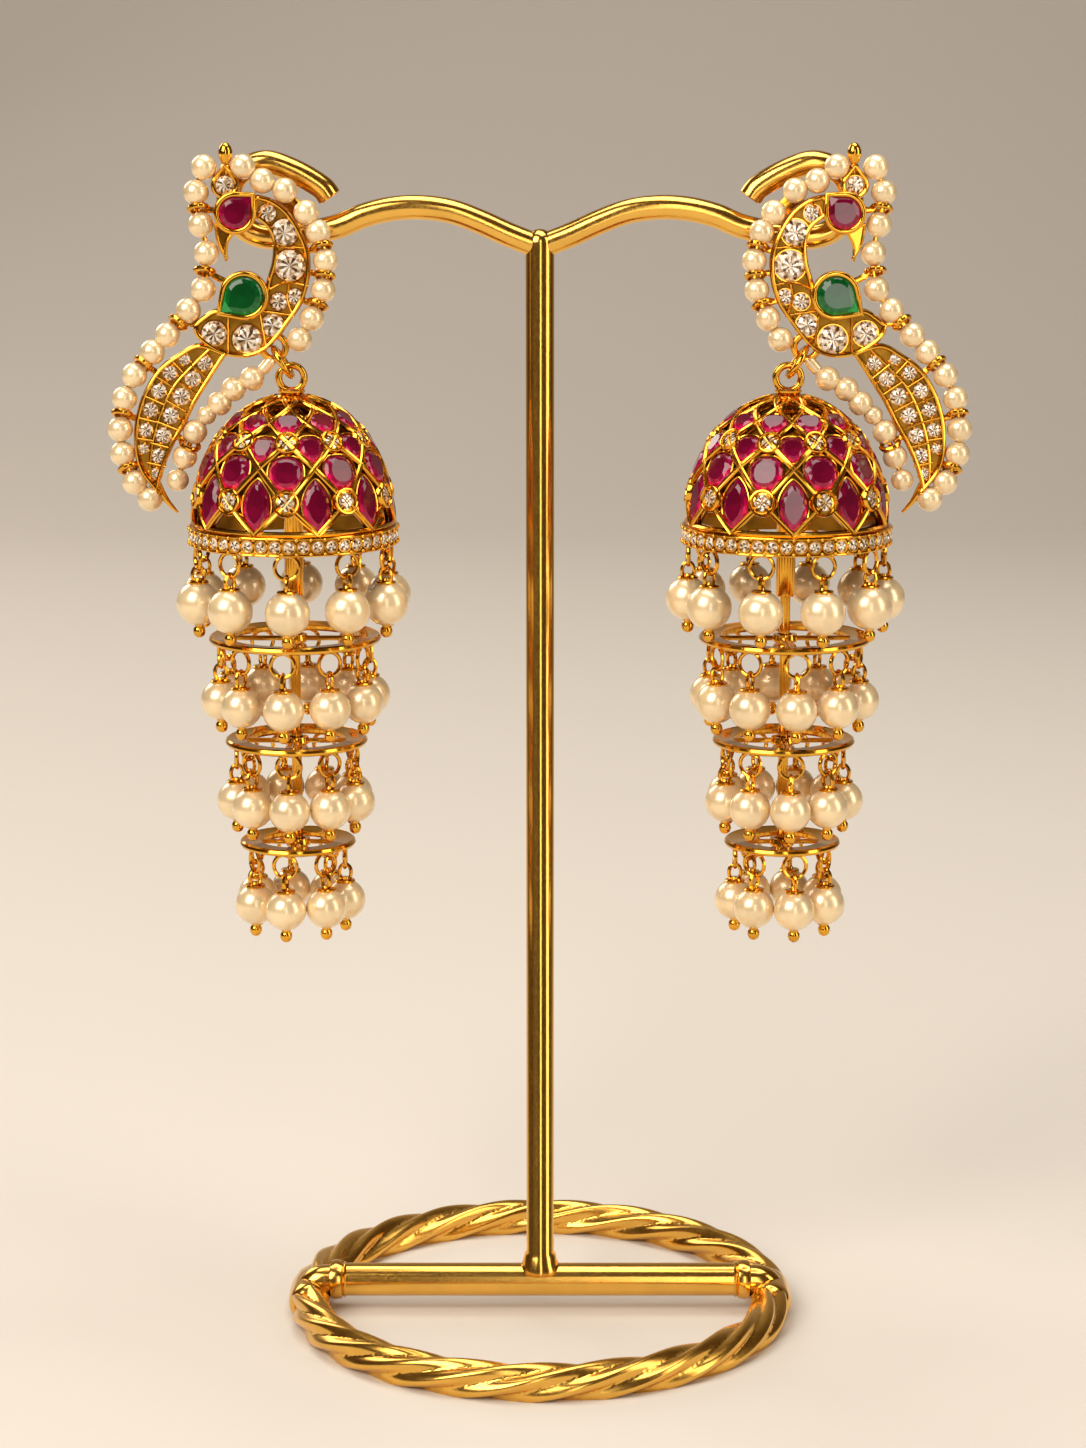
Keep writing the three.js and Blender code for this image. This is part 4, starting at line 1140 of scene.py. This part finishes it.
class JHUMKA_OT_fittings(bpy.types.Operator):
    """Add the ear posts with their clutches, and the jump links"""

    bl_idname = "jhumka.fittings"
    bl_label = "Posts and Links"

    def execute(self, context):
        sizes = context.scene.jhumka_sizes
        start, end = POST_LOW[1], POST_HIGH[1]
        radius = (POST_HIGH[0] - POST_LOW[0]) / 2
        face = end - 1.2
        profile = [
            (0, start - 0.4), (0.9, start - 0.4), (0.9, start), (0.45, start + 0.2), (0.45, face),
            (radius - 0.3, face), (radius, face + 0.25), (radius, end - 0.45), (radius - 0.45, end - 0.1),
            (0.9, end), (0, end),
        ]
        points, faces = lathe(profile, 32)
        post = np.stack([POST[0] + points[:, 0], points[:, 2], POST[2] + points[:, 1]], -1), faces
        make_pair("ear_post_and_clutch", post, POLISHED, "display", ["ear_post"])

        wire, link = sizes.wire_radius / MM, sizes.link_radius / MM
        top = np.array([EYELET_WIRE[0], SWING[1], EYELET_WIRE[2] + 2 * wire + LOOP_PLAY])
        centre = (top + SWING) / 2
        down = unit((SWING - top)[None])
        deep = np.array([DEPTH_AXIS], float)
        ring = copies(torus(link, wire, 48, 14), place(deep, down, np.cross(down, deep), centre[None]))
        make_pair("jump_link", ring, POLISHED, "link", ["link"])
        return {"FINISHED"}


class JHUMKA_OT_domes(bpy.types.Operator):
    """Add the latticed bells with their stones"""

    bl_idname = "jhumka.domes"
    bl_label = "Bells"

    def execute(self, context):
        sizes = context.scene.jhumka_sizes
        repeats = np.arange(REPEATS) * 2
        # Ribs: each goes up the bell one row for each half repeat that it turns; its top has a shallow groove
        rows = np.linspace(0, 6, 49)
        rise = curve(np.stack([np.arange(7), RIB_RISE], -1), 200)
        rise = np.interp(rows, rise[:, 0], rise[:, 1])
        section = np.array([
            (-0.22, -0.40), (-0.35, 0.0), (-0.33, 0.28), (-0.19, 0.42), (0.0, 0.35), (0.19, 0.42), (0.33, 0.28),
            (0.35, 0.0), (0.22, -0.40)
        ])
        ribs = []
        for start in repeats + 1:
            for way in (1, -1):
                path = dome_point(start + way * rows, rise, 0.12, sizes)
                ribs.append(sweep(path, section, dome_axes(start + way * rows, rise, sizes)[2]))
        # The cells' floors lie under the stones, a thin shell between two depths
        floors = []
        s, t = np.meshgrid(np.linspace(0, 1, 9), np.linspace(0, 1, 9), indexing="ij")
        for turn, row in [(1, 0), (0, 1), (1, 2), (0, 3)]:
            level = np.interp(row + s + t, np.arange(7), RIB_RISE)
            for start in repeats:
                skin = [dome_point(turn + s - t + start, level, depth, sizes) for depth in (0.62, 1.0)]
                floors.append(shell(*skin))
        crown_turn = np.linspace(0, 2 * REPEATS, 61)[:-1]
        crown_rise = np.radians([76, 82, 86, 90])
        crown = [dome_point(crown_turn[None], crown_rise[:, None], depth, sizes) for depth in (0.0, 0.8)]
        crown = grid(np.concatenate([crown[1][::-1], crown[0]]), wrap_v=True)
        # The cells' floors: the darkest gold, painted shade inside the bell
        make_pair("bell_cells", together(*floors), PAINTED_SHADE_LINING, "jhumka", ["dome"], with_bell=True)

        stones, painted_tones, settings, corners = [], [], [], 14
        for turn, angle, width, height, kind in DOME_RUBIES:
            flat = stone_outline(kind, width, height, corners)
            at = math.radians(angle)
            axes = dome_axes(repeats + turn, at, sizes)
            seat = dome_point(repeats + turn, at, 0.18 + height**2 / 37, sizes)
            stones.append(copies(cut_stone(flat, 0.55, 0.3, table=0.64), place(*axes, seat)))
            painted_tones.append(glass_painted_light(flat, REPEATS))
            edge = stone_outline(kind, width + 0.14, height + 0.14, 40)
            edge = sweep(
                np.column_stack([edge, np.full(40, 0.02)]), circle_section(0.13, 8), UP_AXIS, closed=True
            )
            settings.append(copies(edge, place(*axes, seat)))
        make_pair(
            "bell_rubies", together(*stones), RUBY, "jhumka", painted_tones=np.concatenate(painted_tones), with_bell=True
        )

        brilliants = []
        brilliant = cut_stone(round_outline(1.0, 16), 0.22, 0.3, table=0.55)
        seat_button = lathe([(0, -0.9), (0.86, -0.6), (0.92, 0.05), (0.76, 0.12), (0, 0.12)], 20)
        for turn, row, radius in DOME_CRYSTALS:
            axes = dome_axes(repeats + turn, RIB_RISE[row], sizes)
            seat = dome_point(repeats + turn, RIB_RISE[row], 0.05, sizes)
            settings += [
                copies(bezel(28), place(*axes, seat, radius)), copies(seat_button, place(*axes, seat, radius))
            ]
            brilliants.append(copies(brilliant, place(*axes, seat + axes[2] * 0.06, radius * 0.72)))
        painted_tones = [crystal_painted_light(16, REPEATS)] * len(brilliants)
        make_pair(
            "bell_crystals", together(*brilliants), CRYSTAL, "jhumka", painted_tones=np.concatenate(painted_tones),
            with_bell=True
        )
        make_pair(
            "bell_gold", together(*ribs, *settings, crown, self.base_ring(sizes)), POLISHED, "jhumka",
            with_bell=True
        )

        peak = DOME_BASE + sizes.dome_height / MM
        collar = [
            (0, -0.5), (1.9, -0.5), (2.05, -0.2), (1.6, 0.12), (1.35, 0.22), (1.6, 0.38), (1.62, 0.58),
            (1.3, 0.72), (0, 0.78),
        ]
        collar = moved(lathe(collar, 32), (SWING[0], SWING[1], peak))
        loop_centre = SWING[2] + 2 * sizes.wire_radius / MM + LOOP_PLAY - 1.5
        loop = moved(upright(torus(1.5, 0.42, 40, 12)), (SWING[0], SWING[1], loop_centre))
        make_pair("bell_loop", together(collar, loop), POLISHED, "jhumka")
        return {"FINISHED"}

    def base_ring(self, sizes):
        """The bell's foot: a rounded band that the ribs stand on."""
        outer = sizes.dome_radius / MM
        foot = RIM_TOP - DOME_BASE
        profile = [
            (outer - 1.1, foot), (outer + 0.15, foot), (outer + 0.28, 0.1), (outer + 0.1, 0.34),
            (outer - 0.35, 0.40), (outer - 1.1, 0.3)
        ]
        return moved(lathe(profile, 100, closed=True), (SWING[0], SWING[1], DOME_BASE))


def drop_parts(count, first, radius, underside, pearl_radius, hang):
    """Rings, caps and end balls in gold, and pearls, of a ring of drops; first is the turn from the front."""
    out, way, up = ring_axes(first - np.pi / 2 + 2 * np.pi * np.arange(count) / count)
    axis = np.array([SWING[0], SWING[1], 0])

    def at(drop):
        return axis + out * radius + up * (underside - drop)

    upper = copies(torus(1.42, 0.25, 24, 8), place(way, up, out, at(1.38)))
    lower = copies(torus(0.72, 0.24, 20, 8, stretch=1.45), place(out, up, -way, at(3.45)))
    cap_height = hang - pearl_radius
    cap = [(0, -0.25), (1.16, -0.30), (1.24, -0.12), (1.12, 0.02), (0.5, 0.10), (0.42, 0.34), (0, 0.36)]
    caps = copies(lathe(cap, 20), place(way, out, up, at(cap_height - 0.02)))
    end = [
        (0, -0.95), (0.28, -0.90), (0.58, -0.68), (0.74, -0.28), (0.70, 0.14), (0.50, 0.44), (0.52, 0.72),
        (0, 0.76),
    ]
    ends = copies(lathe(end, 16), place(way, out, up, at(hang + pearl_radius + 0.52)))
    pearls = copies(ball(pearl_radius, 28, 14), place(way, out, up, at(hang)))
    return together(upper, lower, caps, ends), pearls


class JHUMKA_OT_rims(bpy.types.Operator):
    """Add the paved rim bands and their drops"""

    bl_idname = "jhumka.rims"
    bl_label = "Rim Bands"

    def execute(self, context):
        sizes = context.scene.jhumka_sizes
        outer, tall = sizes.dome_radius / MM + 0.5, sizes.rim_height / MM
        low = RIM_TOP - tall
        centre = np.array([SWING[0], SWING[1], 0])
        profile = [
            (outer - 1.5, 0), (outer - 0.35, 0), (outer - 0.1, 0.15), (outer - 0.28, 0.45),
            (outer - 0.3, tall - 0.45), (outer - 0.1, tall - 0.15), (outer - 0.35, tall), (outer - 1.5, tall)
        ]
        band = moved(lathe(profile, 120, closed=True), centre + (0, 0, low))
        # The band under its stones: darker gold as painted shade
        make_pair("rim_band", band, SHADED_RECESS, "jhumka", ["rim"])

        stones = sizes.rim_stones
        turn = 2 * np.pi * np.arange(stones) / stones
        out, way, up = ring_axes(turn)
        mid = low + tall / 2
        seat = centre + out * (outer - 0.22) + up * mid
        brilliant = cut_stone(round_outline(0.72, 8), 0.28, 0.15, table=0.55)
        make_pair(
            "rim_crystals", copies(brilliant, place(way, up, out, seat)), CRYSTAL, "jhumka",
            painted_tones=crystal_painted_light(8, stones), with_bell=True
        )
        collars = copies(torus(0.76, 0.10, 16, 6), place(way, up, out, seat + out * 0.06))
        # Grains of gold stand above and below, between the stones
        out, way, up = ring_axes(turn + np.pi / stones)
        grains = [
            copies(ball(0.25, 8, 6), place(way, up, out, centre + out * (outer - 0.02) + up * height))
            for height in (low + 0.22, RIM_TOP - 0.22)
        ]
        edge = torus(outer - 0.10, 0.15, 120, 8)
        edges = [moved(edge, centre + (0, 0, height)) for height in (low + 0.08, RIM_TOP - 0.08)]
        gold, pearls = drop_parts(
            RIM_DROPS, np.pi / RIM_DROPS, outer - 0.75, low, sizes.rim_pearl / MM, sizes.drop_hang / MM
        )
        make_pair(
            "rim_gold", together(collars, *grains, *edges, gold), POLISHED, "jhumka", with_bell=True
        )
        make_pair("rim_pearls", pearls, NACRE, "jhumka", with_bell=True)
        return {"FINISHED"}


class JHUMKA_OT_tiers(bpy.types.Operator):
    """Add the three rings of drops and the stem that carries them"""

    bl_idname = "jhumka.tiers"
    bl_label = "Tiers and Stem"

    def execute(self, context):
        sizes = context.scene.jhumka_sizes
        centre = np.array([SWING[0], SWING[1], 0])
        for (name, outer, inner, drops, first), top in zip(TIER_RINGS, TIER_TOPS):
            low = top - TIER_THICK
            profile = [
                (inner, low + 0.25), (inner + 0.2, low), (outer - 0.5, low), (outer - 0.12, low + 0.16),
                (outer, low + 0.45), (outer - 0.12, top - 0.16), (outer - 0.35, top - 0.02),
                (outer - 0.7, top - 0.18), (inner + 0.2, top - 0.18), (inner, top - 0.3),
            ]
            washer = moved(lathe(profile, 96, closed=True), centre)
            spokes = []
            section = circle_section(1.0, 10) * (0.42, 0.3)
            for turn in (0, np.pi / 2, np.pi, 3 * np.pi / 2):
                direction = np.array([math.cos(turn), math.sin(turn), 0])
                run = centre + direction * np.linspace(0.8, inner + 0.5, 6)[:, None] + (0, 0, top - 0.48)
                spokes.append(sweep(run, section, UP_AXIS))
            hub = [(0.92, low), (1.42, low), (1.55, low + 0.3), (1.42, top), (0.92, top)]
            hub = moved(lathe(hub, 32, closed=True), centre)
            gold, pearls = drop_parts(
                drops, first, (outer + inner) / 2, low, sizes.tier_pearl / MM, sizes.drop_hang / MM
            )
            make_pair(
                f"tier_{name}_gold", together(washer, *spokes, hub, gold), POLISHED, "jhumka",
                [f"tier_{name}"]
            )
            make_pair(f"tier_{name}_pearls", pearls, NACRE, "jhumka")

        profile = [(0, STEM_LOW), (0.45, STEM_LOW + 0.1), (0.6, STEM_LOW + 0.6)]
        for top in reversed(TIER_TOPS):
            seat = top - TIER_THICK - 0.3
            profile += [
                (0.6, seat - 0.75), (1.3, seat - 0.6), (1.45, seat - 0.35), (1.3, seat - 0.05), (0.6, seat)
            ]
        sleeve = RIM_TOP - sizes.rim_height / MM - 6.5
        profile += [
            (0.6, sleeve - 0.1), (1.05, sleeve), (1.15, sleeve + 0.15), (1.15, STEM_HIGH - 0.5),
            (0.9, STEM_HIGH - 0.15), (0, STEM_HIGH)
        ]
        make_pair("stem", moved(lathe(profile, 32), centre), POLISHED, "jhumka", ["stem"])
        return {"FINISHED"}


class JHUMKA_PT_sidebar(bpy.types.Panel):
    """The sizes, the finishes and a button for each group of pieces"""

    bl_idname = "JHUMKA_PT_sidebar"
    bl_label = "Jhumka Earrings"
    bl_space_type = "VIEW_3D"
    bl_region_type = "UI"
    bl_category = "Jhumka"

    def draw(self, context):
        layout = self.layout
        for group in (context.scene.jhumka_stand, context.scene.jhumka_sizes, context.scene.jhumka_finishes):
            box = layout.box()
            for name in group.__annotations__:
                box.prop(group, name)
        for operator in OPERATORS:
            layout.operator(operator.bl_idname)


GROUPS = (StandSizes, EarringSizes, Finishes)
OPERATORS = (
    JHUMKA_OT_stage, JHUMKA_OT_stand, JHUMKA_OT_peacock, JHUMKA_OT_stones, JHUMKA_OT_strings,
    JHUMKA_OT_fittings, JHUMKA_OT_domes, JHUMKA_OT_rims, JHUMKA_OT_tiers,
)


def register():
    for cls in (*GROUPS, *OPERATORS, JHUMKA_PT_sidebar):
        bpy.utils.register_class(cls)
    bpy.types.Scene.jhumka_stand = bpy.props.PointerProperty(type=StandSizes)
    bpy.types.Scene.jhumka_sizes = bpy.props.PointerProperty(type=EarringSizes)
    bpy.types.Scene.jhumka_finishes = bpy.props.PointerProperty(type=Finishes)


def unregister():
    del bpy.types.Scene.jhumka_stand
    del bpy.types.Scene.jhumka_sizes
    del bpy.types.Scene.jhumka_finishes
    for cls in reversed((*GROUPS, *OPERATORS, JHUMKA_PT_sidebar)):
        bpy.utils.unregister_class(cls)


def main():
    register()
    bpy.ops.jhumka.stage()
    bpy.ops.jhumka.stand()
    bpy.ops.jhumka.peacock()
    bpy.ops.jhumka.stones()
    bpy.ops.jhumka.strings()
    bpy.ops.jhumka.fittings()
    bpy.ops.jhumka.domes()
    bpy.ops.jhumka.rims()
    bpy.ops.jhumka.tiers()


if __name__ == "__main__":
    main()
